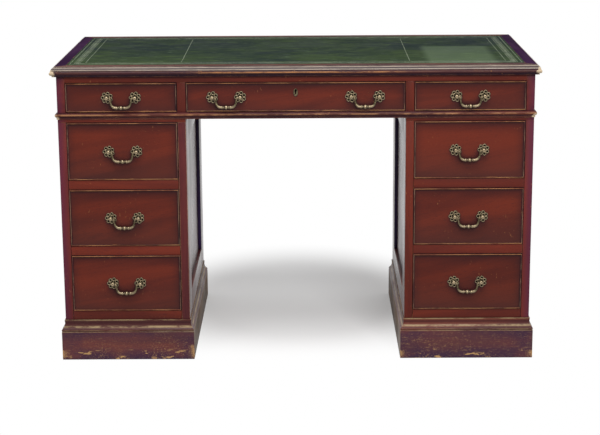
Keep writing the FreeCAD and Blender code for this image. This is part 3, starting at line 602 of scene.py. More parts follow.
@dataclass(frozen=True)
class Hide:
    """Waxed green hide with long streaks, scuffs and a faded patch."""

    name: str = "green_hide"
    green: Colour = screen(50, 62, 43)
    blue_green: Colour = screen(29, 37, 42)
    olive: Colour = screen(66, 82, 42)
    faded: Colour = screen(100, 116, 92)
    gilt: Colour = screen(142, 150, 130)
    patch_middle: Point = (420.0 * MM, -110.0 * MM)
    patch_half: Point = (85.0 * MM, 160.0 * MM)
    patch_edge: float = 12.0 * MM
    relief: float = 0.12 * MM
    repeat_across: float = 18.0 * MM
    repeat_deep: float = 27.0 * MM
    lozenge: float = 0.42

    def body(self, paint: Paint) -> bpy.types.NodeSocket:
        """Mixes the hide's own colour.

        Args:
            paint: The material's nodes.

        Returns:
            The colour.
        """
        spot = paint.place()
        cloud = paint.noise(paint.stretched(spot, (3.0, 7.0, 1.0)), 1.0, detail=4.0)
        stroke = paint.noise(paint.stretched(spot, (17.0, 60.0, 1.0)), 1.0, detail=8.0, roughness=0.8)
        scuff = paint.noise(paint.stretched(spot, (26.0, 150.0, 1.0)), 1.0, detail=4.0, roughness=0.7)
        colour = paint.blend(paint.ramp(cloud, 0.35, 0.65, 0.25, 1.0), self.blue_green, self.green)
        backward = paint.ramp(paint.axis(spot, 1), -0.16, 0.2, 0.0, 0.45)
        colour = paint.blend(backward, colour, self.blue_green)
        colour = paint.blend(paint.ramp(stroke, 0.48, 0.7, 0.0, 0.75), colour, self.olive)
        colour = paint.blend(paint.ramp(stroke, 0.5, 0.28, 0.0, 0.9), colour, self.blue_green)
        inside = []
        for index, (middle, half) in enumerate(zip(self.patch_middle, self.patch_half)):
            off = paint.node("Math", {0: paint.axis(spot, index), 1: middle}, operation="SUBTRACT").outputs[0]
            away = paint.calc("ABSOLUTE", off)
            inside.append(paint.ramp(away, half + self.patch_edge, half - self.patch_edge))
        patch = paint.calc("MULTIPLY", *inside)
        colour = paint.blend(paint.calc("MULTIPLY", patch, 0.35), colour, self.faded)
        return paint.blend(paint.ramp(scuff, 0.6, 0.7, 0.0, 0.6), colour, self.faded)

    def dressed(self, paint: Paint, colour: bpy.types.NodeSocket) -> bpy.types.Material:
        """Adds the hide's grain and its waxed gloss.

        Args:
            paint: The material's nodes.
            colour: The colour that they have mixed.

        Returns:
            The finished material.
        """
        cell = paint.node("TexVoronoi", {"Vector": paint.place(), "Scale": 620.0}, feature="SMOOTH_F1")
        dull = paint.ramp(paint.noise(paint.place(), 14.0), 0.3, 0.7, 0.6, 0.8)
        return paint.dress(colour, dull, cell.outputs["Distance"], self.relief, Specular_IOR_Level=0.004)

    def panel(self) -> bpy.types.Material:
        """The plain middle of each panel."""
        paint = Paint(self.name)
        return self.dressed(paint, self.body(paint))

    def line(self) -> bpy.types.Material:
        """Makes the finish of a gilt line, rubbed away in places.

        Returns:
            The finish.
        """
        paint = Paint(f"{self.name}_gilt_line")
        rubbed = paint.ramp(paint.noise(paint.place(), 60.0, detail=4.0), 0.3, 0.6, 0.35, 0.95)
        return self.dressed(paint, paint.blend(rubbed, self.body(paint), self.gilt))

    def band(self, grain: Grain) -> bpy.types.Material:
        """Makes a roll of small lozenges between two fine lines, rubbed away in places.

        Args:
            grain: The way that the band runs.

        Returns:
            The finish.
        """
        paint = Paint(f"{self.name}_tooled_band_{grain.name.lower()}")
        run = paint.axis(paint.place(), grain.value)
        across = paint.attribute("band_place")
        repeat = self.repeat_deep if grain is Grain.DEEP else self.repeat_across
        wave = paint.node("Math", {0: run, 1: 2 * math.pi / repeat}, operation="MULTIPLY")
        lobe = paint.node("Math", {0: wave.outputs[0]}, operation="SINE")
        swing = paint.node("Math", {0: lobe.outputs[0], 1: self.lozenge}, operation="MULTIPLY")
        strokes = []
        for side in (1.0, -1.0):
            offset = paint.node("Math", {0: swing.outputs[0], 1: side, 2: across}, operation="MULTIPLY_ADD")
            strokes.append(paint.ramp(paint.calc("ABSOLUTE", offset.outputs[0]), 0.2, 0.08))
        edge = paint.ramp(paint.calc("ABSOLUTE", across), 0.8, 0.9)
        pattern = paint.calc("MAXIMUM", paint.calc("MAXIMUM", *strokes), edge)
        rubbed = paint.ramp(paint.noise(paint.place(), 45.0, detail=5.0), 0.32, 0.62, 0.25, 0.85)
        share = paint.calc("MULTIPLY", pattern, rubbed)
        return self.dressed(paint, paint.blend(share, self.body(paint), self.gilt))


@dataclass(frozen=True)
class Brass:
    """Old lacquered brass, dark in its hollows and bright where hands rub it."""

    name: str = "old_brass"
    bright: Colour = screen(124, 112, 86)
    dull: Colour = screen(70, 62, 45)
    polished: Colour = screen(168, 150, 122)
    tarnish: Colour = screen(16, 13, 10)
    hollow_reach: float = 5.0 * MM
    relief: float = 0.08 * MM

    def material(self) -> bpy.types.Material:
        """Makes the finish of pulls and of the keyhole plate.

        Returns:
            The finish.
        """
        paint = Paint(self.name)
        spot = paint.place()
        mottle = paint.noise(spot, 240.0, detail=4.0, roughness=0.6)
        colour = paint.blend(paint.ramp(mottle, 0.35, 0.65), self.dull, self.bright)
        rubbed = paint.attribute("rubbed")
        colour = paint.blend(paint.ramp(rubbed, 0.1, 1.0, 0.0, 0.9), colour, self.polished)
        hollow = paint.calc("MAXIMUM", paint.crevice(self.hollow_reach), paint.ramp(rubbed, -0.1, -1.0))
        colour = paint.blend(paint.calc("MULTIPLY", hollow, 0.95), colour, self.tarnish)
        mottled = paint.ramp(mottle, 0.3, 0.7, 0.34, 0.48)
        dull = paint.calc("ADD", mottled, paint.calc("MULTIPLY", hollow, 0.3))
        return paint.dress(colour, dull, mottle, self.relief, Metallic=0.9)


@dataclass(frozen=True)
class Steel:
    """Plain steel, a little rusty, as inside an old lock."""

    name: str = "lock_steel"
    bright: Colour = screen(142, 138, 130)
    rust: Colour = screen(92, 58, 38)
    relief: float = 0.03 * MM

    def material(self) -> bpy.types.Material:
        """Makes the finish of the lock's case and bolt.

        Returns:
            The finish.
        """
        paint = Paint(self.name)
        rust = paint.noise(paint.place(), 130.0, detail=6.0, roughness=0.65)
        brushed = paint.noise(paint.stretched(paint.place(), (60.0, 900.0, 900.0)), 1.0)
        colour = paint.blend(paint.ramp(rust, 0.56, 0.7, 0.0, 0.8), self.bright, self.rust)
        dull = paint.ramp(rust, 0.4, 0.7, 0.34, 0.7)
        return paint.dress(colour, dull, brushed, self.relief, Metallic=0.85)


def deselect() -> None:
    """Leaves edit mode and deselects every object."""
    if bpy.context.mode != "OBJECT":
        bpy.ops.object.mode_set(mode="OBJECT")
    bpy.ops.object.select_all(action="DESELECT")


def choose(pieces: Sequence[bpy.types.Object]) -> None:
    """Selects pieces alone, the first of them active.

    Args:
        pieces: The pieces.
    """
    deselect()
    for piece in pieces:
        piece.select_set(True)
    bpy.context.view_layer.objects.active = pieces[0]


@contextmanager
def editing(piece: bpy.types.Object) -> Iterator[None]:
    """Opens a piece in edit mode with nothing selected, and closes it again.

    Args:
        piece: The piece.

    Yields:
        Nothing, while the piece is open.
    """
    choose([piece])
    bpy.ops.object.mode_set(mode="EDIT")
    bpy.ops.mesh.select_all(action="DESELECT")
    yield
    bpy.ops.object.mode_set(mode="OBJECT")


def settle(piece: bpy.types.Object) -> None:
    """Puts a piece's place, turn and scale into its mesh."""
    choose([piece])
    bpy.ops.object.transform_apply(location=True, rotation=True, scale=True)


def smooth(piece: bpy.types.Object, degrees: float = ARRIS_FROM) -> None:
    """Shades a piece smoothly, apart from its arrises."""
    choose([piece])
    bpy.ops.object.shade_smooth_by_angle(angle=math.radians(degrees))


def ease(piece: bpy.types.Object, width: float, segments: int = 2) -> None:
    """Rounds the sharp edges of a piece a little.

    Args:
        piece: The piece.
        width: How far its edges are rounded.
        segments: How many steps the rounding has.
    """
    choose([piece])
    modifier = piece.modifiers.new("eased", "BEVEL")
    modifier.width = width
    modifier.segments = segments
    modifier.limit_method = "ANGLE"
    modifier.angle_limit = math.radians(EASED_FROM)
    bpy.ops.object.modifier_apply(modifier=modifier.name)
    smooth(piece)


def select_faces(piece: bpy.types.Object, chosen: Sequence[int]) -> None:
    """Selects faces by number, on a piece that is in edit mode.

    Args:
        piece: The piece.
        chosen: The faces' numbers.
    """
    bpy.ops.mesh.select_mode(type="FACE")
    bpy.ops.object.mode_set(mode="OBJECT")
    for polygon in piece.data.polygons:
        polygon.select = polygon.index in chosen
    bpy.ops.object.mode_set(mode="EDIT")


def close_up(piece: bpy.types.Object) -> None:
    """Merges double points and turns every face outwards.

    Args:
        piece: The piece.
    """
    with editing(piece):
        bpy.ops.mesh.select_all(action="SELECT")
        bpy.ops.mesh.remove_doubles(threshold=MERGED)
        bpy.ops.mesh.normals_make_consistent(inside=False)


def join(pieces: Sequence[bpy.types.Object]) -> bpy.types.Object:
    """Joins pieces into the first of them.

    Args:
        pieces: The pieces.

    Returns:
        The first of them.
    """
    choose(pieces)
    if len(pieces) > 1:
        bpy.ops.object.join()
    return bpy.context.object


def copied(piece: bpy.types.Object, shift: Vector) -> bpy.types.Object:
    """Copies a piece, with a mesh of its own, to another place.

    Args:
        piece: The piece.
        shift: How far away the copy goes.

    Returns:
        The copy.
    """
    choose([piece])
    bpy.ops.object.duplicate(linked=False)
    bpy.ops.transform.translate(value=shift)
    copy = bpy.context.object
    settle(copy)
    return copy


def removed(piece: bpy.types.Object) -> None:
    """Deletes a piece that was only a pattern for others."""
    choose([piece])
    bpy.ops.object.delete()


def carve(piece: bpy.types.Object, cutter: bpy.types.Object) -> None:
    """Cuts the shape of a cutter out of a piece and deletes the cutter.

    Args:
        piece: The piece.
        cutter: The cutter.
    """
    choose([piece])
    modifier = piece.modifiers.new("carved", "BOOLEAN")
    modifier.object = cutter
    modifier.operation = "DIFFERENCE"
    modifier.solver = "EXACT"
    bpy.ops.object.modifier_apply(modifier=modifier.name)
    removed(cutter)
    smooth(piece)


def mark(piece: bpy.types.Object, name: str, value: float) -> None:
    """Writes one value on every point of a piece."""
    attribute = piece.data.attributes.new(name, "FLOAT", "POINT")
    attribute.data.foreach_set("value", [value] * len(piece.data.vertices))


def block(low: Vector, high: Vector, eased: float = BOARD_EASE) -> bpy.types.Object:
    """Makes a board between two corners, with its edges eased.

    Args:
        low: The corner with the least x, y and z.
        high: The corner across from it.
        eased: How far its edges are rounded.

    Returns:
        The board.
    """
    deselect()
    bpy.ops.mesh.primitive_cube_add(size=1, location=(low + high) / 2, scale=high - low)
    piece = bpy.context.object
    settle(piece)
    ease(piece, eased)
    return piece


def swelling(start: Point, end: Point, swell: float, steps: int = 6) -> list[Point]:
    """Points along an arc that stands out to the left of the way from start to end.

    Args:
        start: Where the arc starts. It isn't among the points.
        end: Where the arc ends, which is the last point.
        swell: How far it stands out in the middle, or in, where it is below 0.
        steps: How many points it has.

    Returns:
        The points in order.
    """
    chord = math.dist(start, end)
    across = ((end[0] - start[0]) / chord, (end[1] - start[1]) / chord)
    radius = chord**2 / (8 * abs(swell)) + abs(swell) / 2
    half = math.asin(min(1.0, chord / (2 * radius)))
    points = []
    for step in range(1, steps + 1):
        angle = -half + 2 * half * step / steps
        run = chord / 2 + radius * math.sin(angle)
        rise = math.copysign(radius * (math.cos(angle) - math.cos(half)), swell)
        points.append((start[0] + across[0] * run - across[1] * rise,
                       start[1] + across[1] * run + across[0] * rise))
    return points


def run_round(middle: Vector, half: Point, profile: Sequence[Point]) -> bpy.types.Object:
    """A moulding run round a rectangle and mitred at its corners.

    Args:
        middle: The rectangle's middle, on the level that the profile's heights count from.
        half: Half of the rectangle's width and half of its depth.
        profile: The moulding's section as (outset, height) points, closed by itself.

    Returns:
        The moulding, as one closed piece.
    """
    deselect()
    outset, height = profile[0]
    bpy.ops.mesh.primitive_plane_add(size=2, location=middle + Vector((0, 0, height)))
    piece = bpy.context.object
    piece.scale = (half[0] + outset, half[1] + outset, 1)
    settle(piece)
    with editing(piece):
        bpy.ops.mesh.select_mode(type="EDGE")
        bpy.ops.mesh.select_all(action="SELECT")
        bpy.ops.mesh.delete(type="ONLY_FACE")
        bpy.ops.mesh.select_all(action="SELECT")
        for next_outset, next_height in [*profile[1:], profile[0]]:
            rise = (0, 0, next_height - height)
            bpy.ops.mesh.extrude_edges_move(TRANSFORM_OT_translate={"value": rise})
            share = [(part + next_outset) / (part + outset) for part in half]
            bpy.ops.transform.resize(value=(*share, 1), center_override=middle)
            outset, height = next_outset, next_height
    close_up(piece)
    smooth(piece)
    return piece


def rub(piece: bpy.types.Object, middle: Vector, half: Point, profile: Sequence[Point],
        shares: Sequence[float]) -> None:
    """Marks the pale lines of a moulding, wear and painted highlight, and its dark lines, wax and painted
    shade.

    Args:
        piece: The moulding.
        middle: The middle of the rectangle that it goes round, on its own level.
        half: Half of the rectangle's width and half of its depth.
        profile: The moulding's section as (outset, height) points.
        shares: From 1 for pale to -1 for dark, for each point of the section.
    """
    lines = piece.data.attributes.new("rubbed", "FLOAT", "POINT")
    for vertex, item in zip(piece.data.vertices, lines.data):
        off = vertex.co - middle
        spot = (max(abs(off.x) - half[0], abs(off.y) - half[1]), off.z)
        near = min(range(len(profile)), key=lambda index: math.dist(profile[index], spot))
        item.value = shares[near] if math.dist(profile[near], spot) < NEAR else 0.0


def shown(piece: bpy.types.Object, levels: Sequence[Point], grain: Grain) -> None:
    """Marks how far a cast piece is rubbed bright or has filled with dark polish.

    Args:
        piece: The piece.
        levels: (place, share) pairs, from 1 for rubbed bright to -1 for dark.
        grain: The axis that the places are counted along.
    """
    lines = piece.data.attributes.new("rubbed", "FLOAT", "POINT")
    for vertex, item in zip(piece.data.vertices, lines.data):
        item.value = min(levels, key=lambda level: abs(level[0] - vertex.co[grain.value]))[1]


def turned(foot: Vector, lean: Sequence[float], profile: Sequence[Point], sides: int = 20
           ) -> bpy.types.Object:
    """A turned piece, drawn up ring by ring from its foot.

    Args:
        foot: The middle of its foot.
        lean: The turn, in degrees about X, Y and Z, that carries +Z to its axis.
        profile: (radius, height) of each ring, from the foot up.
        sides: How many sides a ring has.

    Returns:
        The piece, closed at both ends.
    """
    deselect()
    radius, height = profile[0]
    bpy.ops.mesh.primitive_circle_add(
        vertices=sides, radius=radius, fill_type="NGON", location=(0, 0, height),
    )
    piece = bpy.context.object
    settle(piece)
    with editing(piece):
        bpy.ops.mesh.select_mode(type="FACE")
        bpy.ops.mesh.select_all(action="SELECT")
        for next_radius, next_height in profile[1:]:
            rise = (0, 0, next_height - height)
            bpy.ops.mesh.extrude_region_move(TRANSFORM_OT_translate={"value": rise})
            share = next_radius / radius
            bpy.ops.transform.resize(value=(share, share, 1), center_override=(0, 0, next_height))
            radius, height = next_radius, next_height
    close_up(piece)
    piece.rotation_euler = [math.radians(part) for part in lean]
    piece.location = foot
    settle(piece)
    smooth(piece)
    return piece


def handed_over(piece: bpy.types.Object, name: str, body: str, nodes: Sequence[str]) -> None:
    """Names a finished piece, sets it on its body and reports it.

    Args:
        piece: The finished piece.
        name: Its name.
        body: The body that it moves with.
        nodes: The plain nodes that it stands for.
    """
    piece.name = name
    piece.data.name = name
    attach(piece, body)
    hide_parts(*nodes)
    log.info("%s: %d faces on %s", name, len(piece.data.polygons), body)


@dataclass
class Joinery:
    """Boards that are made one by one, each with a mark of its own, and joined as one piece."""

    finish: Mahogany | PlainWood
    first_mark: float = 0.37
    mark_step: float = 0.618034
    mark_by_place: float = 0.21
    boards: list[bpy.types.Object] = field(default_factory=list)

    def board(self, low: Sequence[float], high: Sequence[float], grain: Grain,
              inner: Mahogany | None = None, front: Mahogany | None = None) -> None:
        """Adds a board between two corners.

        Args:
            low: The corner with the least x, y and z.
            high: The corner across from it.
            grain: The way that its grain runs.
            inner: The finish of the face that looks to the middle of the desk, where it differs.
            front: The finish of the face that looks to the front, where it differs.
        """
        piece = block(Vector(low), Vector(high))
        by_place = self.mark_by_place * abs(low[0])
        mark(piece, "board", (self.first_mark + self.mark_step * len(self.boards) + by_place) % 1.0)
        for finish in (self.finish, inner or self.finish, front or self.finish):
            piece.data.materials.append(finish.material(grain))
        for polygon in piece.data.polygons:
            if polygon.normal.y < -FACING:
                polygon.material_index = 2
            elif polygon.normal.x * low[0] < -FACING * abs(low[0]):
                polygon.material_index = 1
        self.boards.append(piece)

    def deliver(self, name: str, nodes: Sequence[str]) -> None:
        """Joins the boards and hands them over as part of the carcass."""
        handed_over(join(self.boards), name, "carcass", nodes)


# Where the corners of the top's nosing and of the waist strip are knocked, on the right and at the back.
TOP_CORNER = (610.0 * MM, 305.0 * MM, 742.0 * MM)
WAIST_CORNER = (601.0 * MM, 296.0 * MM, 625.5 * MM)

CASE_WOOD = Mahogany(
    "case_mahogany", ground=screen(108, 43, 30), figure=screen(88, 35, 27), wear=0.6, violet=0.6, nicks=0.6,
)
# Painted shade: a darker copy of the case wood for the left pedestal's inner front stile, also worn more.
SHADED_WOOD = Mahogany(
    "shaded_stile_mahogany", ground=screen(88, 38, 38), figure=screen(68, 29, 33), bare=screen(190, 150, 104),
    wear=1.3, worn_width=3.0 * MM, nicks=0.6,
)
FRONT_WOOD = Mahogany(
    "front_mahogany", ground=screen(102, 40, 27), figure=screen(84, 33, 25), gathered=screen(46, 22, 26),
    border=0.25, wear=0.3, nicks=0.45, halo=0.85, slant=11.0,
)
BEAD_WOOD = Mahogany(
    "bead_mahogany", ground=screen(92, 42, 30), figure=screen(64, 30, 26), bare=screen(188, 138, 88),
    wear=1.0, lines=True,
)
# Painted shade: a darker, cooler copy of the bead wood for the upright beads, with a greyer painted
# highlight.
PAINTED_SHADE_SIDE_BEAD_WOOD = Mahogany(
    "side_bead_mahogany", ground=screen(70, 36, 36), figure=screen(48, 26, 30), bare=screen(146, 116, 92),
    wear=0.8, lines=True, least_rubbed=0.05,
)
SIDE_WOOD = Mahogany(
    "side_mahogany", ground=screen(92, 42, 38), figure=screen(68, 32, 33), wear=0.8, gloss=1.0,
    dullness=(0.25, 0.36), relief=0.02 * MM,
)
# Painted shade: the dark violet front face of each rear stile, standing proud of the sunk panel.
PAINTED_SHADE_REVEAL_WOOD = Mahogany("reveal_mahogany", ground=screen(48, 30, 76), figure=screen(34, 22, 58), wear=0.3)
WAIST_WOOD = Mahogany(
    "waist_mahogany", ground=screen(90, 44, 35), figure=screen(62, 29, 29), bare=screen(176, 128, 86),
    wear=1.0, lines=True, nicks=1.0, least_rubbed=0.05, corner=WAIST_CORNER,
)
# Its violet ground is a painted reflection on the flat border of the top, which has almost no gloss.
PAINTED_REFLECTION_BORDER_WOOD = Mahogany(
    "border_mahogany", ground=screen(53, 27, 58), figure=screen(40, 19, 46), wear=0.6, gloss=0.0003,
)
STRIP_WOOD = Mahogany(
    "border_strip_mahogany", ground=screen(92, 52, 44), figure=screen(62, 34, 38), wear=0.6, gloss=0.002,
)
# Its greyish ground and pale grey lines are painted sheen and highlights on the ovolo, with some wear.
PAINTED_SHEEN_OVOLO_WOOD = Mahogany(
    "ovolo_painted_sheen_mahogany", ground=screen(90, 74, 68), figure=screen(60, 47, 46), gathered=screen(40, 28, 30),
    bare=screen(164, 150, 136), wear=0.8, gloss=0.2, lines=True, least_rubbed=0.6,
    corner=TOP_CORNER,
)
NOSING_WOOD = Mahogany(
    "nosing_mahogany", ground=screen(70, 34, 34), figure=screen(42, 20, 30), bare=screen(162, 110, 64),
    wear=0.9, lines=True, least_rubbed=0.05, nicks=1.0, sitter=0.88, corner=TOP_CORNER,
)
PLINTH_WOOD = Mahogany(
    "plinth_mahogany", ground=screen(122, 66, 54), figure=screen(88, 50, 50), bare=screen(186, 146, 96),
    wear=0.9, chips=1.0, grime=0.85, gloss=0.15,
)
# Its paler tan ground is a painted reflection of a brown floor on the plinths' inner faces.
PAINTED_REFLECTION_PLINTH_SIDE_WOOD = Mahogany(
    "plinth_side_mahogany", ground=screen(118, 88, 60), figure=screen(80, 60, 44), bare=screen(160, 130, 92),
    wear=0.9, chips=0.6, gloss=0.015,
)
MOULDING_WOOD = Mahogany(
    "plinth_moulding_mahogany", ground=screen(100, 50, 40), figure=screen(72, 36, 36),
    gathered=screen(56, 22, 26), bare=screen(158, 136, 100), wear=1.0, chips=0.4, gloss=0.15, lines=True,
    least_rubbed=0.05,
)
INNER_WOOD = PlainWood()
HIDE = Hide()
BRASS = Brass()
# A dark sheet behind each rose, as painted shade seen through its openings.
SHADED_BRASS = Brass("brass_in_shade", bright=screen(28, 22, 16), dull=screen(16, 13, 11))


@dataclass
class DeskTop:
    """The moulded top, sunk for its hide."""

    nosing_swell: float = 2.8 * MM
    under_fillet: float = 3.0 * MM
    nosing_height: float = 9.0 * MM
    nosing_step: float = 1.5 * MM
    ovolo_run: float = 9.2 * MM
    ovolo_drop: float = 9.0 * MM
    ovolo_swell: float = 2.2 * MM
    quirk: float = 1.5 * MM
    board_mark: float = 0.4
    # Each line along the edge, from the foot up: pale is wear and painted highlight, as on the ovolo and the
    # nosing's foot; dark is wax and painted shade, as under the nosing and in the quirks.
    foot_rubbed: tuple[float, ...] = (-1.0, -1.0, 0.6)
    nosing_rubbed: tuple[float, ...] = (-0.8, -0.2, 0.6, 0.9, 0.3, -0.6)
    step_rubbed: float = -0.6
    ovolo_rubbed: tuple[float, ...] = (1.0, 0.5, -0.7, -0.5, 0.7, 1.0, 0.2, -0.9)
    flat_rubbed: float = 1.0

    def build(self) -> None:
        """Lofts the slab from its underside to its flat and sinks the room for the hide."""
        low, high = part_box("top_board")
        hide_low, hide_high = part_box("leather_inset")
        half = (high.x, high.y)
        nose = -self.nosing_swell
        flat = nose - self.ovolo_run
        ovolo_top = high.z - self.quirk
        ovolo_foot = ovolo_top - self.ovolo_drop
        nosing_top = ovolo_foot - self.nosing_step
        nosing_foot = nosing_top - self.nosing_height
        under = nose - self.under_fillet
        rings = [(under, low.z), (under, nosing_foot), (nose, nosing_foot)]
        rings += swelling((nose, nosing_foot), (nose, nosing_top), -self.nosing_swell)
        rings += [(nose, ovolo_foot)]
        rings += swelling((nose, ovolo_foot), (flat, ovolo_top), -self.ovolo_swell, steps=8)
        rings += [(flat, high.z)]
        shares = [*self.foot_rubbed, *self.nosing_rubbed, self.step_rubbed, *self.ovolo_rubbed,
                  self.flat_rubbed]
        deselect()
        bpy.ops.mesh.primitive_plane_add(size=2, location=(0, 0, low.z))
        piece = bpy.context.object
        piece.scale = (half[0] + under, half[1] + under, 1)
        settle(piece)
        with editing(piece):
            bpy.ops.mesh.select_mode(type="FACE")
            bpy.ops.mesh.select_all(action="SELECT")
            for (outset, height), (next_outset, next_height) in zip(rings, rings[1:]):
                rise = (0, 0, next_height - height)
                bpy.ops.mesh.extrude_region_move(TRANSFORM_OT_translate={"value": rise})
                share = [(part + next_outset) / (part + outset) for part in half]
                bpy.ops.transform.resize(value=(*share, 1), center_override=(0, 0, 0))
            bpy.ops.mesh.inset(thickness=half[0] + flat - hide_high.x)
            bpy.ops.mesh.extrude_region_move(TRANSFORM_OT_translate={"value": (0, 0, hide_low.z - high.z)})
        close_up(piece)
        smooth(piece, degrees=30)
        mark(piece, "board", self.board_mark)
        rub(piece, Vector(), half, rings, shares)
        self.dress(piece, half, -flat, ovolo_foot)
        handed_over(piece, "moulded_top", "carcass", ["top_board"])

    def dress(self, piece: bpy.types.Object, half: Point, flat: float, ovolo_foot: float) -> None:
        """Gives the border, the ovolo and the nosing their finishes, with the grain along each side.

        Args:
            piece: The top.
            half: Half of its width and half of its depth.
            flat: How far inside the edge the flat starts.
            ovolo_foot: The height that the ovolo starts at.
        """
        for along, end in ((STRIP_WOOD, PAINTED_REFLECTION_BORDER_WOOD), (PAINTED_SHEEN_OVOLO_WOOD, PAINTED_SHEEN_OVOLO_WOOD), (NOSING_WOOD, NOSING_WOOD)):
            piece.data.materials.append(along.material(Grain.ACROSS))
            piece.data.materials.append(end.material(Grain.DEEP))
        for polygon in piece.data.polygons:
            to_end = half[0] - abs(polygon.center.x)
            to_side = half[1] - abs(polygon.center.y)
            inward = min(to_end, to_side)
            zone = 0 if inward > flat + NEAR else 1 if polygon.center.z > ovolo_foot else 2
            polygon.material_index = 2 * zone + (1 if to_end < to_side else 0)


@dataclass
class LeatherInset:
    """Three panels of tooled hide in one skin, let into the top."""

    line_width: float = 1.1 * MM
    line_depth: float = 0.2 * MM
    edge_to_line: float = 6.0 * MM
    line_to_band: float = 9.0 * MM
    band_width: float = 15.0 * MM
    band_to_line: float = 12.0 * MM
    divider_x: float = 287.5 * MM
    room: float = 0.15 * MM
    skin: float = 0.5 * MM

    def build(self) -> None:
        """Insets the lines and the band, cuts the dividing lines and presses them in."""
        low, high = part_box("leather_inset")
        gap = Vector((self.room, self.room, 0))
        deselect()
        bpy.ops.mesh.primitive_cube_add(size=1, location=(low + high) / 2, scale=high - low - 2 * gap)
        piece = bpy.context.object
        settle(piece)
        half = (high.x - self.room, high.y - self.room)
        insets = [self.edge_to_line, *self.pressed(), self.line_to_band, self.band_width, self.band_to_line,
                  *self.pressed()]
        with editing(piece):
            upper = [face.index for face in piece.data.polygons if face.normal.z > 0.9]
            select_faces(piece, upper)
            for step in insets:
                width, depth = step if isinstance(step, tuple) else (step, 0.0)
                bpy.ops.mesh.inset(thickness=width, depth=depth)
            for side in (-1, 1):
                for shift in (-0.5, 0.0, 0.5):
                    bpy.ops.mesh.select_all(action="SELECT")
                    cut_x = side * self.divider_x + shift * self.line_width
                    bpy.ops.mesh.bisect(plane_co=(cut_x, 0, 0), plane_no=(1, 0, 0))
        border = self.edge_to_line + self.line_to_band + self.band_width + self.band_to_line
        self.press_dividers(piece, half[1] - border - 2 * self.line_width, high.z)
        self.dress(piece, half, high.z)
        smooth(piece, degrees=30)
        handed_over(piece, "tooled_hide", "carcass", ["leather_inset"])

    def pressed(self) -> list[tuple[float, float]]:
        """The two insets of a line that is pressed in and comes up again."""
        return [(self.line_width / 2, -self.line_depth), (self.line_width / 2, self.line_depth)]

    def press_dividers(self, piece: bpy.types.Object, reach: float, level: float) -> None:
        """Presses the middle of each dividing line into the field.

        Args:
            piece: The hide.
            reach: Half of the lines' length.
            level: The height of the hide's upper face.
        """
        for vertex in piece.data.vertices:
            on_line = abs(abs(vertex.co.x) - self.divider_x) < NEAR
            if on_line and abs(vertex.co.y) < reach + NEAR and vertex.co.z > level - self.skin:
                vertex.co.z = level - self.line_depth

    def dress(self, piece: bpy.types.Object, half: Point, level: float) -> None:
        """Gives lines, bands and field their finishes, by how far each face is from the edge.

        Args:
            piece: The hide.
            half: Half of its width and half of its depth.
            level: The height of its upper face.
        """
        across = HIDE.band(Grain.ACROSS)
        deep = HIDE.band(Grain.DEEP)
        for material in (HIDE.panel(), HIDE.line(), across, deep):
            piece.data.materials.append(material)
        first_line = (self.edge_to_line, self.edge_to_line + self.line_width)
        band = (first_line[1] + self.line_to_band, first_line[1] + self.line_to_band + self.band_width)
        second_line = (band[1] + self.band_to_line, band[1] + self.band_to_line + self.line_width)
        for polygon in piece.data.polygons:
            if polygon.center.z < level - self.skin:
                continue
            to_end = half[0] - abs(polygon.center.x)
            to_side = half[1] - abs(polygon.center.y)
            inward = min(to_end, to_side)
            on_line = any(first < inward < last for first, last in (first_line, second_line))
            near_divider = abs(abs(polygon.center.x) - self.divider_x) < self.line_width / 2
            if on_line or near_divider and inward > second_line[1]:
                polygon.material_index = 1
            elif band[0] < inward < band[1]:
                polygon.material_index = 3 if to_end < to_side else 2
        middle = (band[0] + band[1]) / 2
        place = piece.data.attributes.new("band_place", "FLOAT", "POINT")
        for vertex, item in zip(piece.data.vertices, place.data):
            inward = min(half[0] - abs(vertex.co.x), half[1] - abs(vertex.co.y))
            item.value = (inward - middle) / (self.band_width / 2)


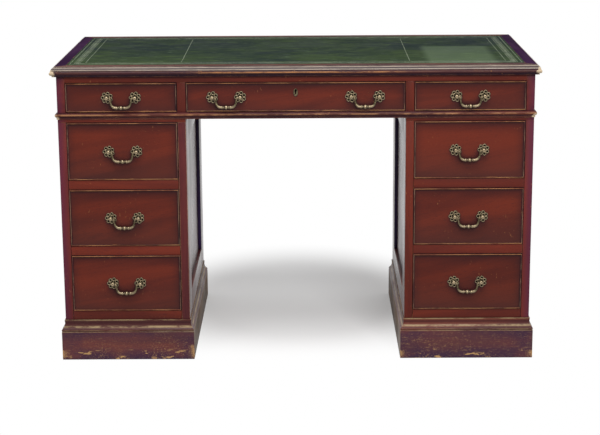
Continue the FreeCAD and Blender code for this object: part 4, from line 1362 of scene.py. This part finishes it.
@dataclass
class Frieze:
    """The section under the top: ends, back, dividers and the rails round three drawers."""

    board: float = 20.5 * MM
    rail_depth: float = 45.0 * MM
    bottom_rail: float = 17.0 * MM
    top_rail: float = 16.0 * MM
    divider: float = 21.5 * MM
    bolt_throw: float = 7.0 * MM
    bolt_room: float = 1.5 * MM

    def build(self) -> None:
        """Makes each board and joins the boards of each node."""
        low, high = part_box("frieze_ends")
        inner = high.x - self.board
        ends = Joinery(CASE_WOOD)
        ends.board((low.x, low.y, low.z), (-inner, high.y, high.z), Grain.DEEP)
        ends.board((inner, low.y, low.z), (high.x, high.y, high.z), Grain.DEEP)
        ends.deliver("frieze_end_boards", ["frieze_ends"])

        back = Joinery(CASE_WOOD)
        back.board((-inner, high.y - self.board, low.z), (inner, high.y, high.z), Grain.ACROSS)
        back.deliver("frieze_back_board", ["frieze_back"])

        divider_low, divider_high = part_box("frieze_dividers")
        dividers = Joinery(CASE_WOOD)
        for x in (divider_low.x, divider_high.x - self.divider):
            far_corner = (x + self.divider, divider_high.y, divider_high.z)
            dividers.board((x, divider_low.y, divider_low.z), far_corner, Grain.UPRIGHT)
        dividers.deliver("frieze_divider_boards", ["frieze_dividers"])

        rail_back = low.y + self.rail_depth
        lower = Joinery(CASE_WOOD)
        lower.board((-inner, low.y, low.z), (inner, rail_back, low.z + self.bottom_rail), Grain.ACROSS)
        for name in ("frieze_left", "frieze_centre", "frieze_right"):
            DrawerStops(name).add(lower)
        lower.deliver("frieze_lower_rail", ["frieze_bottom_rail"])
        upper = Joinery(CASE_WOOD)
        ceiling = high.z - self.top_rail
        upper.board((-inner, low.y, ceiling), (inner, rail_back, high.z), Grain.ACROSS)
        bolt_low, bolt_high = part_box("lock_bolt")
        room = Vector((self.bolt_room, self.bolt_room, 0))
        mortise_low = Vector((bolt_low.x, bolt_low.y, ceiling - self.bolt_room)) - room
        mortise_high = Vector((bolt_high.x, bolt_high.y, ceiling + self.bolt_throw + self.bolt_room)) + room
        carve(upper.boards[0], block(mortise_low, mortise_high, CUTTER_EASE))
        upper.deliver("frieze_upper_rail", ["frieze_top_rail"])


@dataclass
class DrawerStops:
    """Two small blocks that end a drawer's travel inwards."""

    drawer: str
    length: float = 30.0 * MM
    depth: float = 16.0 * MM
    height: float = 5.0 * MM
    gap: float = 0.3 * MM
    front_gap: float = 1.2 * MM
    off_middle: float = 0.25

    def add(self, boards: Joinery) -> None:
        """Adds the blocks to the rail that carries them.

        Args:
            boards: The rail and whatever is joined to it.
        """
        low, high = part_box(f"drawer_front_{self.drawer}")
        opening = high.x - low.x + 2 * self.front_gap
        y = high.y + self.gap
        z = low.z - self.front_gap
        for share in (-self.off_middle, self.off_middle):
            x = (low.x + high.x) / 2 + opening * share - self.length / 2
            boards.board((x, y, z), (x + self.length, y + self.depth, z + self.height), Grain.ACROSS)


@dataclass
class WaistMoulding:
    """A nosed strip over a narrow fillet, planted round the foot of the frieze."""

    fillet: float = 2.0 * MM
    swell: float = 4.0 * MM
    step: float = 0.3
    board_mark: float = 0.55
    # Pale across the nose, as wear and painted highlight; dark on its underside as painted shade, and at its
    # top as wax and painted shade.
    rubbed: tuple[float, ...] = (-0.6, 0.2, -1.0, -1.0, -0.5, 0.2, 0.7, 0.6, 0.1, -0.4, -0.8, -0.8)

    def build(self) -> None:
        """Runs the strip round the case."""
        low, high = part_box("waist_moulding")
        reach = self.fillet + self.swell
        half = (high.x - reach, high.y - reach)
        height = high.z - low.z
        nosing_foot = self.step * height
        profile = [(0.0, 0.0), (self.fillet, 0.0), (self.fillet, nosing_foot)]
        profile += swelling((self.fillet, nosing_foot), (self.fillet, height), -self.swell, steps=8)
        profile += [(0.0, height)]
        middle = Vector((0, 0, low.z))
        piece = run_round(middle, half, profile)
        mark(piece, "board", self.board_mark)
        rub(piece, middle, half, profile, self.rubbed)
        grain_round(piece, half, WAIST_WOOD)
        handed_over(piece, "waist_nosing", "carcass", ["waist_moulding"])


def grain_round(piece: bpy.types.Object, half: Point, finish: Mahogany, middle_x: float = 0.0,
                above: float = 0.0) -> None:
    """Runs the grain of a moulding along each side of the rectangle that it goes round.

    Args:
        piece: The moulding.
        half: Half of the rectangle's width and half of its depth.
        finish: The finish to give it.
        middle_x: Where the rectangle's middle is.
        above: The height that the finish starts at.
    """
    first = len(piece.data.materials)
    for grain in (Grain.ACROSS, Grain.DEEP):
        piece.data.materials.append(finish.material(grain))
    for polygon in piece.data.polygons:
        if polygon.center.z > above:
            to_end = half[0] - abs(polygon.center.x - middle_x)
            to_side = half[1] - abs(polygon.center.y)
            polygon.material_index = first + (1 if to_end < to_side else 0)


@dataclass
class Pedestal:
    """One pedestal's fixed pieces: framed sides and back, rails between drawers and a plinth."""

    side: Side
    stile: float = 85.0 * MM
    back_stile: float = 60.0 * MM
    top_rail: float = 55.0 * MM
    panel_foot: float = 161.0 * MM
    board: float = 20.5 * MM
    panel: float = 11.0 * MM
    setback: float = 9.0 * MM
    tongue: float = 8.0 * MM
    rail_depth: float = 45.0 * MM
    kick_board: float = 20.0 * MM
    bottom_rail: float = 23.0 * MM
    drawer_rail: float = 23.5 * MM
    open_joint: float = 0.9 * MM
    front_gap: float = 1.2 * MM
    left_mark: float = 0.3
    right_mark: float = 0.75
    low: Vector = field(init=False)
    high: Vector = field(init=False)

    def __post_init__(self) -> None:
        """Reads where the pedestal stands."""
        self.low, self.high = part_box(f"{self.side}_pedestal_frames")

    def build(self) -> None:
        """Makes the frames, the panels, the rails and the plinth."""
        frames = Joinery(CASE_WOOD)
        panels = Joinery(CASE_WOOD)
        low, high = self.low, self.high
        for x, panel_x in ((low.x, low.x + self.setback),
                           (high.x - self.board, high.x - self.setback - self.panel)):
            self.framed_side(frames, x)
            panels.board((panel_x, low.y + self.stile - self.tongue, self.panel_foot - self.tongue),
                         (panel_x + self.panel, high.y - self.stile + self.tongue,
                          high.z - self.top_rail + self.tongue), Grain.UPRIGHT, inner=SIDE_WOOD)
        self.framed_back(frames, panels)
        frames.deliver(f"{self.side}_framing", [f"{self.side}_pedestal_frames"])
        panels.deliver(f"{self.side}_sunk_panels", [f"{self.side}_pedestal_panels"])
        self.rails()
        self.plinth()

    def framed_side(self, frames: Joinery, x: float) -> None:
        """Adds the two stiles and two rails of a side.

        Args:
            frames: The boards to add them to.
            x: Where the side starts.
        """
        low, high = self.low, self.high
        inner = (low.y + self.stile, high.y - self.stile)
        # Painted shade on the left pedestal's inner front stile, and on the front face of every rear stile.
        shaded = SHADED_WOOD if self.side is Side.LEFT and x > low.x else None
        for start, end, front in ((low.y, inner[0], shaded), (inner[1], high.y, PAINTED_SHADE_REVEAL_WOOD)):
            frames.board((x, start, low.z), (x + self.board, end, high.z), Grain.UPRIGHT, inner=SIDE_WOOD,
                         front=front)
        for foot, head in ((low.z, self.panel_foot), (high.z - self.top_rail, high.z)):
            frames.board((x, inner[0], foot), (x + self.board, inner[1], head), Grain.DEEP, inner=SIDE_WOOD)

    def framed_back(self, frames: Joinery, panels: Joinery) -> None:
        """Adds two stiles, two rails and a panel across the back.

        Args:
            frames: The boards to add the stiles and rails to.
            panels: The boards to add the panel to.
        """
        low, high = self.low, self.high
        left, right = low.x + self.board, high.x - self.board
        y = high.y - self.board
        for start, end in ((left, left + self.back_stile), (right - self.back_stile, right)):
            frames.board((start, y, low.z), (end, high.y, high.z), Grain.UPRIGHT)
        inner = (left + self.back_stile, right - self.back_stile)
        for foot, head in ((low.z, self.panel_foot), (high.z - self.top_rail, high.z)):
            frames.board((inner[0], y, foot), (inner[1], high.y, head), Grain.ACROSS)
        panel_y = high.y - self.setback - self.panel
        panels.board((inner[0] - self.tongue, panel_y, self.panel_foot - self.tongue),
                     (inner[1] + self.tongue, panel_y + self.panel, high.z - self.top_rail + self.tongue),
                     Grain.UPRIGHT)

    def rails(self) -> None:
        """The rails under the drawers, their stops and the board behind the plinth."""
        low, high = self.low, self.high
        left, right = low.x + self.board, high.x - self.board
        rails = Joinery(CASE_WOOD)
        plinth_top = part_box(f"{self.side}_plinth")[1].z
        rails.board((left, low.y, low.z), (right, low.y + self.kick_board, plinth_top), Grain.ACROSS)
        left, right = left + self.open_joint, right - self.open_joint
        for row in Row:
            height = self.bottom_rail if row is Row.BOTTOM else self.drawer_rail
            name = f"{self.side}_{row}"
            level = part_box(f"drawer_front_{name}")[0].z - self.front_gap
            rails.board((left, low.y, level - height), (right, low.y + self.rail_depth, level), Grain.ACROSS)
            DrawerStops(name).add(rails)
        rails.deliver(f"{self.side}_rails", [f"{self.side}_drawer_rails"])

    def plinth(self) -> None:
        """The planted plinth, with a bead and a cove along its top."""
        low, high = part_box(f"{self.side}_plinth")
        shape = PlinthSection()
        middle_x = (low.x + high.x) / 2
        half = ((high.x - low.x) / 2 - shape.reach, high.y - shape.reach)
        middle = Vector((middle_x, 0, low.z))
        profile = shape.profile(high.z - low.z)
        piece = run_round(middle, half, profile)
        mark(piece, "board", self.left_mark if self.side is Side.LEFT else self.right_mark)
        rub(piece, middle, half, profile, shape.rubbed)
        grain_round(piece, half, PLINTH_WOOD, middle_x)
        # The faces that look to the kneehole take a painted reflection of a brown floor.
        finishes = piece.data.materials
        finishes.append(PAINTED_REFLECTION_PLINTH_SIDE_WOOD.material(Grain.DEEP))
        for polygon in piece.data.polygons:
            if polygon.normal.x * middle_x < -FACING * abs(middle_x):
                polygon.material_index = len(finishes) - 1
        grain_round(piece, half, MOULDING_WOOD, middle_x, high.z - shape.moulded)
        handed_over(piece, f"{self.side}_moulded_plinth", "carcass", [f"{self.side}_plinth"])


@dataclass
class PlinthSection:
    """The outline of a plinth, out from the pedestal's face."""

    reach: float = 10.0 * MM
    cove_height: float = 20.0 * MM
    bead_height: float = 6.0 * MM
    bead_swell: float = 1.5 * MM
    fillet: float = 2.5 * MM
    fillet_height: float = 3.5 * MM
    cove_hollow: float = 3.0 * MM
    foot_ease: float = 1.2 * MM
    # Pale on the fillet, the bead and the lower half of the cove, as wear and painted highlights; dark in the
    # quirks, as wax and painted shade.
    rubbed: tuple[float, ...] = (
        0.0, 0.0, 0.0, 0.0, 0.9, -1.0,
        -0.3, 0.4, 0.6, 0.2, -0.5, -1.0,
        0.3, 0.9, 0.7, 0.1, -0.4, -0.7, -0.6, 0.2,
        1.0, 0.5,
    )

    @property
    def moulded(self) -> float:
        """How far down from its top a plinth is moulded."""
        return self.fillet_height + self.cove_height + self.bead_height + 2 * self.bead_swell

    def profile(self, height: float) -> list[Point]:
        """Draws the outline.

        Args:
            height: The plinth's height.

        Returns:
            Its (outset, height) points in order.
        """
        fillet_z = height - self.fillet_height
        cove_z = fillet_z - self.cove_height
        bead_z = cove_z - self.bead_height
        bead_face = self.reach - self.bead_swell
        points = [(0.0, 0.0), (self.reach - self.foot_ease, 0.0), (self.reach, self.foot_ease),
                  (self.reach, bead_z - 2 * self.bead_swell), (self.reach, bead_z - self.bead_swell),
                  (bead_face, bead_z)]
        points += swelling((bead_face, bead_z), (bead_face, cove_z), -self.bead_swell)
        points += swelling((bead_face, cove_z), (self.fillet, fillet_z), self.cove_hollow, steps=8)
        points += [(self.fillet, height), (0.0, height)]
        return points


@dataclass
class PedestalTops:
    """The thin boards that close the pedestals under the frieze."""

    def build(self) -> None:
        """Makes one board for each pedestal."""
        low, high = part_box("pedestal_tops")
        boards = Joinery(CASE_WOOD)
        for side in Side:
            case_low, case_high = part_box(f"{side}_pedestal_frames")
            boards.board((case_low.x, low.y, low.z), (case_high.x, high.y, high.z), Grain.ACROSS)
        boards.deliver("pedestal_top_boards", ["pedestal_tops"])


@dataclass
class Keyhole:
    """A round eye over a narrow slot, through the middle drawer's front and its plate."""

    eye_radius: float = 3.0 * MM
    slot_half: float = 1.8 * MM
    slot_length: float = 10.0 * MM
    reach: float = 36.0 * MM

    def cut(self, piece: bpy.types.Object) -> None:
        """Cuts the hole through a piece.

        Args:
            piece: The piece.
        """
        low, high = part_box("escutcheon")
        eye = (low + high) / 2 + Vector((0, 0, self.slot_length / 2))
        back = Vector((0, self.reach / 2, 0))
        bore = turned(eye + back, TO_FRONT, [(self.eye_radius, 0.0), (self.eye_radius, self.reach)])
        slot = block(eye - back - Vector((self.slot_half, 0, self.slot_length)),
                     eye + back + Vector((self.slot_half, 0, 0)), CUTTER_EASE)
        for cutter in (bore, slot):
            carve(piece, cutter)


@dataclass
class Drawer:
    """A drawer's front with its mitred cockbead, and the finish of the box behind it."""

    name: str
    bead_width: float = 3.0 * MM
    bead_depth: float = 8.0 * MM
    bead_proud: float = 2.2 * MM
    bead_round: float = 0.98
    # Pale on the crest, as wear and painted highlight; dark towards the root, as wax and painted shade in the
    # gap.
    bead_rubbed: tuple[float, ...] = (-1.0, -1.0, -0.6, 0.2, 1.0, 0.4, -0.6, -1.0, -1.0)
    end_room: float = 0.25 * MM
    mark_by_name: float = 0.13
    mark_by_x: float = 3.7
    mark_by_z: float = 3.1
    keyhole: Keyhole | None = None

    def build(self) -> None:
        """Makes the front and its bead, and dresses the box."""
        low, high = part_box(f"drawer_front_{self.name}")
        front = self.front_board(low, high)
        bead = self.cockbead(low, high)
        by_place = self.mark_by_x * abs(low.x) + self.mark_by_z * low.z
        tone = (self.mark_by_name * len(self.name) + by_place) % 1.0
        for piece in (front, bead):
            mark(piece, "board", tone)
        piece = join([front, bead])
        handed_over(piece, f"{self.name}_drawer_front", f"drawer_{self.name}",
                    [f"drawer_front_{self.name}"])
        box = frame["nodes"][f"drawer_box_{self.name}"]
        box.data.materials.clear()
        box.data.materials.append(INNER_WOOD.material(Grain.DEEP))

    def front_board(self, low: Vector, high: Vector) -> bpy.types.Object:
        """Makes the board, rebated all round for its bead.

        Args:
            low: The corner of the whole front with the least x, y and z.
            high: The corner across from it.

        Returns:
            The board.
        """
        middle = (low + high) / 2
        half = (high.x - middle.x - self.end_room, high.z - middle.z)
        face_y = low.y + self.bead_proud
        deselect()
        bpy.ops.mesh.primitive_plane_add(size=2, location=(middle.x, high.y, middle.z),
                                         rotation=(math.pi / 2, 0, 0))
        piece = bpy.context.object
        piece.scale = (*half, 1)
        settle(piece)
        with editing(piece):
            bpy.ops.mesh.select_mode(type="FACE")
            bpy.ops.mesh.select_all(action="SELECT")
            rebate_y = face_y + self.bead_depth
            bpy.ops.mesh.extrude_region_move(TRANSFORM_OT_translate={"value": (0, rebate_y - high.y, 0)})
            bpy.ops.mesh.inset(thickness=self.bead_width)
            bpy.ops.mesh.extrude_region_move(TRANSFORM_OT_translate={"value": (0, -self.bead_depth, 0)})
        close_up(piece)
        smooth(piece)
        piece.data.materials.append(FRONT_WOOD.material(Grain.ACROSS))
        if self.keyhole:
            self.keyhole.cut(piece)
        place = piece.data.attributes.new("front_place", "FLOAT_VECTOR", "POINT")
        reach = piece.data.attributes.new("front_half", "FLOAT_VECTOR", "POINT")
        for vertex, place_item, reach_item in zip(piece.data.vertices, place.data, reach.data):
            place_item.vector = vertex.co - middle
            reach_item.vector = (half[0] - self.bead_width, 0.0, half[1] - self.bead_width)
        return piece

    def cockbead(self, low: Vector, high: Vector) -> bpy.types.Object:
        """Makes the bead, half round on its nose, let in round the front.

        Args:
            low: The corner of the whole front with the least x, y and z.
            high: The corner across from it.

        Returns:
            The bead.
        """
        middle = (low + high) / 2
        bead = self.bead_width
        half = (high.x - middle.x - bead, high.z - middle.z - bead)
        root = self.bead_proud + self.bead_depth
        nose = root - bead / 2
        profile = [(bead, 0.0), (bead, nose)]
        profile += swelling((bead, nose), (0.0, nose), -bead / 2 * self.bead_round)
        profile += [(0.0, 0.0)]
        piece = run_round(Vector(), half, profile)
        rub(piece, Vector(), half, profile, self.bead_rubbed)
        piece.data.materials.append(BEAD_WOOD.material(Grain.ACROSS))
        piece.data.materials.append(PAINTED_SHADE_SIDE_BEAD_WOOD.material(Grain.UPRIGHT))
        for polygon in piece.data.polygons:
            upright = abs(polygon.center.x) - half[0] > abs(polygon.center.y) - half[1]
            polygon.material_index = 1 if upright else 0
        piece.rotation_euler = (math.pi / 2, 0, 0)
        piece.location = (middle.x, low.y + root, middle.z)
        settle(piece)
        return piece


@dataclass
class PullMount:
    """A turned post on a pierced rose, with the nut that holds it inside the drawer."""

    lobes: int = 7
    lobe_ring: float = 10.3 * MM
    lobe_radius: float = 3.8 * MM
    lobe_wire: float = 1.1 * MM
    rim_radius: float = 7.6 * MM
    rim_wire: float = 0.9 * MM
    flatness: float = 0.75
    standoff: float = 10.3 * MM
    front: float = 19.0 * MM
    nut_half: float = 4.5 * MM
    nut_thickness: float = 3.0 * MM
    nut_ease: float = 0.9 * MM
    shank: float = 2.0 * MM
    shank_past_nut: float = 1.0 * MM
    tip: float = 1.2 * MM
    tip_past_nut: float = 1.8 * MM

    def build(self) -> bpy.types.Object:
        """Makes one mount at the origin, looking out to -Y from a front at y = 0.

        Returns:
            The mount.
        """
        brass = BRASS.material()
        rings = [self.ring(0.0, 0.0, self.rim_radius, self.rim_wire)]
        for lobe in range(self.lobes):
            angle = 2 * math.pi * (lobe + 0.5) / self.lobes
            rings.append(self.ring(self.lobe_ring, angle, self.lobe_radius, self.lobe_wire))
        pieces = [self.post(), *rings, *self.nut()]
        for piece in pieces:
            piece.data.materials.append(brass)
        # The plate behind the rose is painted shade, seen through its openings.
        back = self.back()
        back.data.materials.append(SHADED_BRASS.material())
        return join([*pieces, back])

    def post(self) -> bpy.types.Object:
        """Turns the post: a collar, a waist and a button with a dimple in it.

        Returns:
            The post.
        """
        # Radius and height of each ring in millimetres, and how far it is rubbed.
        profile = [(3.2, 0.6, -1.0), (4.4, 1.0, -1.0), (4.6, 1.8, 0.0), (4.1, 2.7, 0.2), (3.2, 3.3, -1.0),
                   (2.9, 4.2, -1.0), (2.9, 5.4, -1.0), (3.6, 6.2, -0.8), (4.5, 7.0, -0.4), (4.6, 8.6, 0.0),
                   (4.6, 11.6, 0.0), (4.3, 13.2, 0.4), (3.6, 14.2, 1.0), (2.4, 14.6, 1.0), (1.2, 14.5, 0.6),
                   (0.7, 13.9, 0.0), (0.2, 13.7, 0.0)]
        piece = turned(Vector(), TO_FRONT, [(radius * MM, height * MM) for radius, height, _ in profile])
        shown(piece, [(-height * MM, share) for _, height, share in profile], Grain.DEEP)
        return piece

    def back(self) -> bpy.types.Object:
        """Turns the thin plate behind the lobes, dark as the painted shade seen through the rose.

        Returns:
            The plate.
        """
        profile = [(12.4, 0.05), (12.4, 0.3), (4.0, 0.4)]
        rings = [(radius * MM, height * MM) for radius, height in profile]
        return turned(Vector(), TO_FRONT, rings, sides=28)

    def ring(self, out: float, angle: float, radius: float, wire: float) -> bpy.types.Object:
        """One ring of the rose, rubbed bright along its crown.

        Args:
            out: How far the ring's middle is from the post.
            angle: Where it lies round the post.
            radius: The radius of its wire's middle line.
            wire: The wire's radius.

        Returns:
            The ring, lying on the front.
        """
        deselect()
        bpy.ops.mesh.primitive_torus_add(
            major_segments=18, minor_segments=8, major_radius=radius, minor_radius=wire,
        )
        ring = bpy.context.object
        height = wire * self.flatness
        ring.scale = (1.0, 1.0, self.flatness)
        ring.location = (out, 0, height)
        settle(ring)
        ring.rotation_euler = (0, 0, angle)
        settle(ring)
        ring.rotation_euler = (math.pi / 2, 0, 0)
        settle(ring)
        smooth(ring, degrees=80)
        shown(ring, [(0.0, -1.0), (-height, -0.6), (-1.7 * height, 0.3), (-2.0 * height, 0.7)], Grain.DEEP)
        return ring

    def nut(self) -> list[bpy.types.Object]:
        """Makes the shank and the square nut on its end, inside the drawer.

        Returns:
            The nut and the shank.
        """
        side, back = self.nut_half, self.front
        end = back + self.nut_thickness
        nut = block(Vector((-side, back, -side)), Vector((side, end, side)), self.nut_ease)
        rings = [(self.shank, 0.0), (self.shank, end + self.shank_past_nut),
                 (self.tip, end + self.tip_past_nut)]
        return [nut, turned(Vector(), TO_BACK, rings, sides=12)]


@dataclass
class Bail:
    """A swan-necked bail with a knop between two reels, about its pivot."""

    drop: float = 24.6 * MM

    def build(self) -> bpy.types.Object:
        """Makes one bail with its pivot at the origin.

        Returns:
            The bail.
        """
        bail = join([self.bow(), self.knop()])
        bail.data.materials.append(bpy.data.materials[BRASS.name])
        return bail

    def bow(self) -> bpy.types.Object:
        """Bends the bar, thick at its knuckles and along its grip.

        Returns:
            The bar.
        """
        # Place across, height and radius along the right half, in millimetres.
        half = [(4.0, -24.6, 2.8), (9.0, -24.7, 3.0), (14.0, -24.5, 3.5), (18.5, -23.0, 3.4),
                (22.2, -19.6, 3.0), (24.4, -15.0, 2.6), (25.4, -10.0, 2.4), (26.1, -5.5, 2.5),
                (27.0, -1.8, 3.0), (28.4, -0.2, 2.9), (30.6, 0.0, 1.7), (33.0, 0.0, 1.7)]
        points = [(-x, z, radius) for x, z, radius in reversed(half)] + half
        deselect()
        bpy.ops.curve.primitive_nurbs_path_add()
        piece = bpy.context.object
        curve = piece.data
        curve.splines.clear()
        spline = curve.splines.new("NURBS")
        spline.points.add(len(points) - 1)
        for item, (x, z, radius) in zip(spline.points, points):
            item.co = (x * MM, 0, z * MM, 1)
            item.radius = radius
        spline.order_u = 3
        spline.use_endpoint_u = True
        spline.resolution_u = 3
        curve.bevel_depth = MM
        curve.bevel_resolution = 3
        curve.use_fill_caps = True
        choose([piece])
        bpy.ops.object.convert(target="MESH")
        piece = bpy.context.object
        settle(piece)
        close_up(piece)
        smooth(piece, degrees=60)
        rubbed = [(-24.6, 0.6), (-21.0, 0.4), (-16.0, 0.1), (-10.0, 0.0), (-5.5, 0.1), (-1.8, 0.6),
                  (0.0, 0.2)]
        shown(piece, [(height * MM, share) for height, share in rubbed], Grain.UPRIGHT)
        return piece

    def knop(self) -> bpy.types.Object:
        """Turns the knop and its reels, along the bar.

        Returns:
            The knop.
        """
        # Place across and radius of each ring in millimetres, and how far it is rubbed.
        half = [(12.0, 3.0, -0.7), (11.5, 3.9, 0.3), (10.3, 4.2, 1.0), (9.2, 3.8, 0.3), (8.6, 2.9, -1.0),
                (7.6, 2.9, -0.6), (6.9, 3.5, 0.5), (5.9, 3.5, 0.5), (5.2, 2.8, -1.0), (4.2, 2.8, -1.0),
                (3.4, 3.8, 0.0), (2.3, 4.6, 0.4), (0.9, 4.8, 0.6)]
        whole = [(-x, radius, share) for x, radius, share in half] + list(reversed(half))
        rings = [(radius * MM, x * MM) for x, radius, _ in whole]
        knop = turned(Vector((0, 0, -self.drop)), TO_RIGHT, rings, sides=18)
        shown(knop, [(x * MM, share) for x, _, share in whole], Grain.ACROSS)
        return knop


@dataclass
class Pulls:
    """Every drawer's pulls, copied from one mount and one bail."""

    spacing: float = 70.0 * MM

    def build(self, drawers: dict[str, list[str]]) -> None:
        """Sets mounts and bails on each drawer.

        Args:
            drawers: The names of each drawer's bails.
        """
        mount = PullMount().build()
        bail = Bail().build()
        hinges = [joint for joint in frame["joints"] if joint["type"] == "hinge"]
        pivots = {joint["child"]: Vector(joint["pos_m"]) for joint in hinges}
        standoff = Vector((0, PullMount().standoff, 0))
        for drawer, names in drawers.items():
            mounts = []
            for name in names:
                pivot = pivots[f"bail_{name}"]
                for share in (-0.5, 0.5):
                    mounts.append(copied(mount, pivot + standoff + Vector((share * self.spacing, 0, 0))))
                handed_over(copied(bail, pivot), f"{name}_bail", f"bail_{name}", [f"bail_{name}"])
            handed_over(join(mounts), f"{drawer}_pull_mounts", f"drawer_{drawer}",
                        [f"pull_mounts_{drawer}"])
        removed(mount)
        removed(bail)


@dataclass
class LockFurniture:
    """The plate over the keyhole, and the finish of the lock behind it."""

    rim: float = 1.0 * MM
    sunk: float = 0.5

    def build(self, keyhole: Keyhole) -> None:
        """Makes the keyhole plate and dresses the lock's case and bolt.

        Args:
            keyhole: The hole that the plate goes round.
        """
        low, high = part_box("escutcheon")
        middle = (low + high) / 2
        deselect()
        bpy.ops.mesh.primitive_circle_add(vertices=32, radius=1.0, fill_type="NGON",
                                          location=(middle.x, high.y, middle.z), rotation=(math.pi / 2, 0, 0))
        plate = bpy.context.object
        plate.scale = ((high.x - low.x) / 2, (high.z - low.z) / 2, 1)
        settle(plate)
        with editing(plate):
            bpy.ops.mesh.select_mode(type="FACE")
            bpy.ops.mesh.select_all(action="SELECT")
            bpy.ops.mesh.extrude_region_move(TRANSFORM_OT_translate={"value": (0, low.y - high.y, 0)})
            bpy.ops.mesh.inset(thickness=self.rim)
            sunk = (0, (high.y - low.y) * self.sunk, 0)
            bpy.ops.mesh.extrude_region_move(TRANSFORM_OT_translate={"value": sunk})
        close_up(plate)
        keyhole.cut(plate)
        plate.data.materials.append(bpy.data.materials[BRASS.name])
        handed_over(plate, "keyhole_plate", "drawer_frieze_centre", ["escutcheon"])
        steel = Steel().material()
        for name in ("lock_case", "lock_bolt"):
            node = frame["nodes"][name]
            node.data.materials.clear()
            node.data.materials.append(steel)


@dataclass(frozen=True)
class Lamp:
    """A square lamp, turned to what it is aimed at."""

    name: str
    place: tuple[float, float, float]
    aim: tuple[float, float, float]
    power: float
    size: float

    def build(self) -> None:
        """Hangs the lamp."""
        deselect()
        bpy.ops.object.light_add(type="AREA", location=self.place)
        lamp = bpy.context.object
        lamp.name = self.name
        lamp.data.energy = self.power
        lamp.data.size = self.size
        lamp.rotation_euler = (Vector(self.aim) - Vector(self.place)).to_track_quat("-Z", "Y").to_euler()


@dataclass
class Studio:
    """The floor, the light and the camera: a broad fill from the front, and a soft key from high up."""

    camera_place: tuple[float, float, float] = (0.02613, -4.32533, 1.34561)
    tilt: float = -0.2367
    yaw: float = 0.0028
    roll: float = 0.0060
    lens: float = 98.35
    sensor: float = 36.0
    sky: float = 0.4
    bounce: float = 0.42
    floor_size: float = 24.0
    floor_white: float = 0.92
    shadow: tuple[float, float, float] = (0.42, 0.55, 1.0)
    shadow_middle: tuple[float, float, float] = (0.0, 0.25, 0.0)
    shadow_edge: Point = (0.6, 1.2)
    shadow_glow: float = 0.22
    fill: Lamp = Lamp("fill", place=(0.7, -3.0, 2.4), aim=(0.0, -0.2, 0.4), power=63.0, size=1.3)
    key: Lamp = Lamp("key", place=(-0.3, -1.2, 3.4), aim=(0.0, 0.0, 0.3), power=75.0, size=1.6)

    def build(self) -> None:
        """Sets up everything round the desk."""
        self.floor()
        self.world()
        self.fill.build()
        self.key.build()
        self.camera()
        bpy.context.scene.view_settings.view_transform = "Standard"

    def floor(self) -> None:
        """A plain white floor that keeps the desk's shadow and fades out to white."""
        deselect()
        bpy.ops.mesh.primitive_plane_add(size=self.floor_size, location=(0, 0, 0))
        floor = bpy.context.object
        floor.name = "floor"
        paint = Paint("studio_floor")
        seen = paint.seen()
        white = paint.blend(seen, [self.bounce] * 3, [self.floor_white] * 3)
        paint.dress(white, 0.9, Specular_IOR_Level=0.0)
        round_desk = {"Vector": paint.place(), "Location": self.shadow_middle, "Scale": self.shadow}
        shadow = paint.node("Mapping", round_desk, vector_type="TEXTURE")
        away = paint.node("VectorMath", {0: shadow.outputs[0]}, operation="LENGTH").outputs["Value"]
        glow = paint.node("Emission", {"Color": (1.0, 1.0, 1.0), "Strength": 1.0})
        faded = paint.ramp(away, *self.shadow_edge, self.shadow_glow, 1.0)
        share = paint.calc("MULTIPLY", seen, faded)
        mixed = paint.node("MixShader", {0: share, 1: paint.shader.outputs[0], 2: glow.outputs[0]})
        paint.feed(paint.tree.nodes["Material Output"].inputs["Surface"], mixed.outputs[0])
        floor.data.materials.append(paint.material)

    def world(self) -> None:
        """White to the camera, and a soft grey light on the desk."""
        world = bpy.data.worlds.new("studio")
        bpy.context.scene.world = world
        world.use_nodes = True
        paint = Paint(world)
        background = paint.tree.nodes["Background"]
        paint.feed(background.inputs["Color"], (1.0, 1.0, 1.0))
        paint.feed(background.inputs["Strength"], paint.ramp(paint.seen(), 0.0, 1.0, self.sky, 1.0))

    def camera(self) -> None:
        """A long lens from in front and above, as the photograph was taken."""
        deselect()
        bpy.ops.object.camera_add()
        camera = bpy.context.object
        camera.data.lens = self.lens
        camera.data.sensor_width = self.sensor
        turn = (Matrix.Rotation(self.yaw, 3, "Z") @ Matrix.Rotation(self.roll, 3, "Y")
                @ Matrix.Rotation(self.tilt, 3, "X"))
        right, forward, up = turn.col[0], turn.col[1], turn.col[2]
        pose = Matrix((right, up, -forward)).transposed().to_4x4()
        pose.translation = self.camera_place
        camera.matrix_world = pose
        bpy.context.scene.camera = camera


def dress_plain_nodes() -> None:
    """Gives bare wood to the runners and blocks, which keep their own shapes."""
    for name in ("frieze_runners", "pedestal_runners", "locating_blocks"):
        node = frame["nodes"][name]
        node.data.materials.clear()
        node.data.materials.append(INNER_WOOD.material(Grain.DEEP))


DRAWERS = {
    **{f"{side}_{row}": [f"{side}_{row}"] for side in Side for row in Row},
    "frieze_left": ["frieze_left"],
    "frieze_right": ["frieze_right"],
    "frieze_centre": ["centre_left", "centre_right"],
}


def main() -> None:
    """Builds the desk's sub-assemblies in order, then the studio round it."""
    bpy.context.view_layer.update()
    DeskTop().build()
    LeatherInset().build()
    Frieze().build()
    WaistMoulding().build()
    PedestalTops().build()
    for side in Side:
        Pedestal(side).build()
    keyhole = Keyhole()
    for name in DRAWERS:
        Drawer(name, keyhole=keyhole if name == "frieze_centre" else None).build()
    Pulls().build(DRAWERS)
    LockFurniture().build(keyhole)
    dress_plain_nodes()
    Studio().build()


if __name__ == "__main__":
    main()
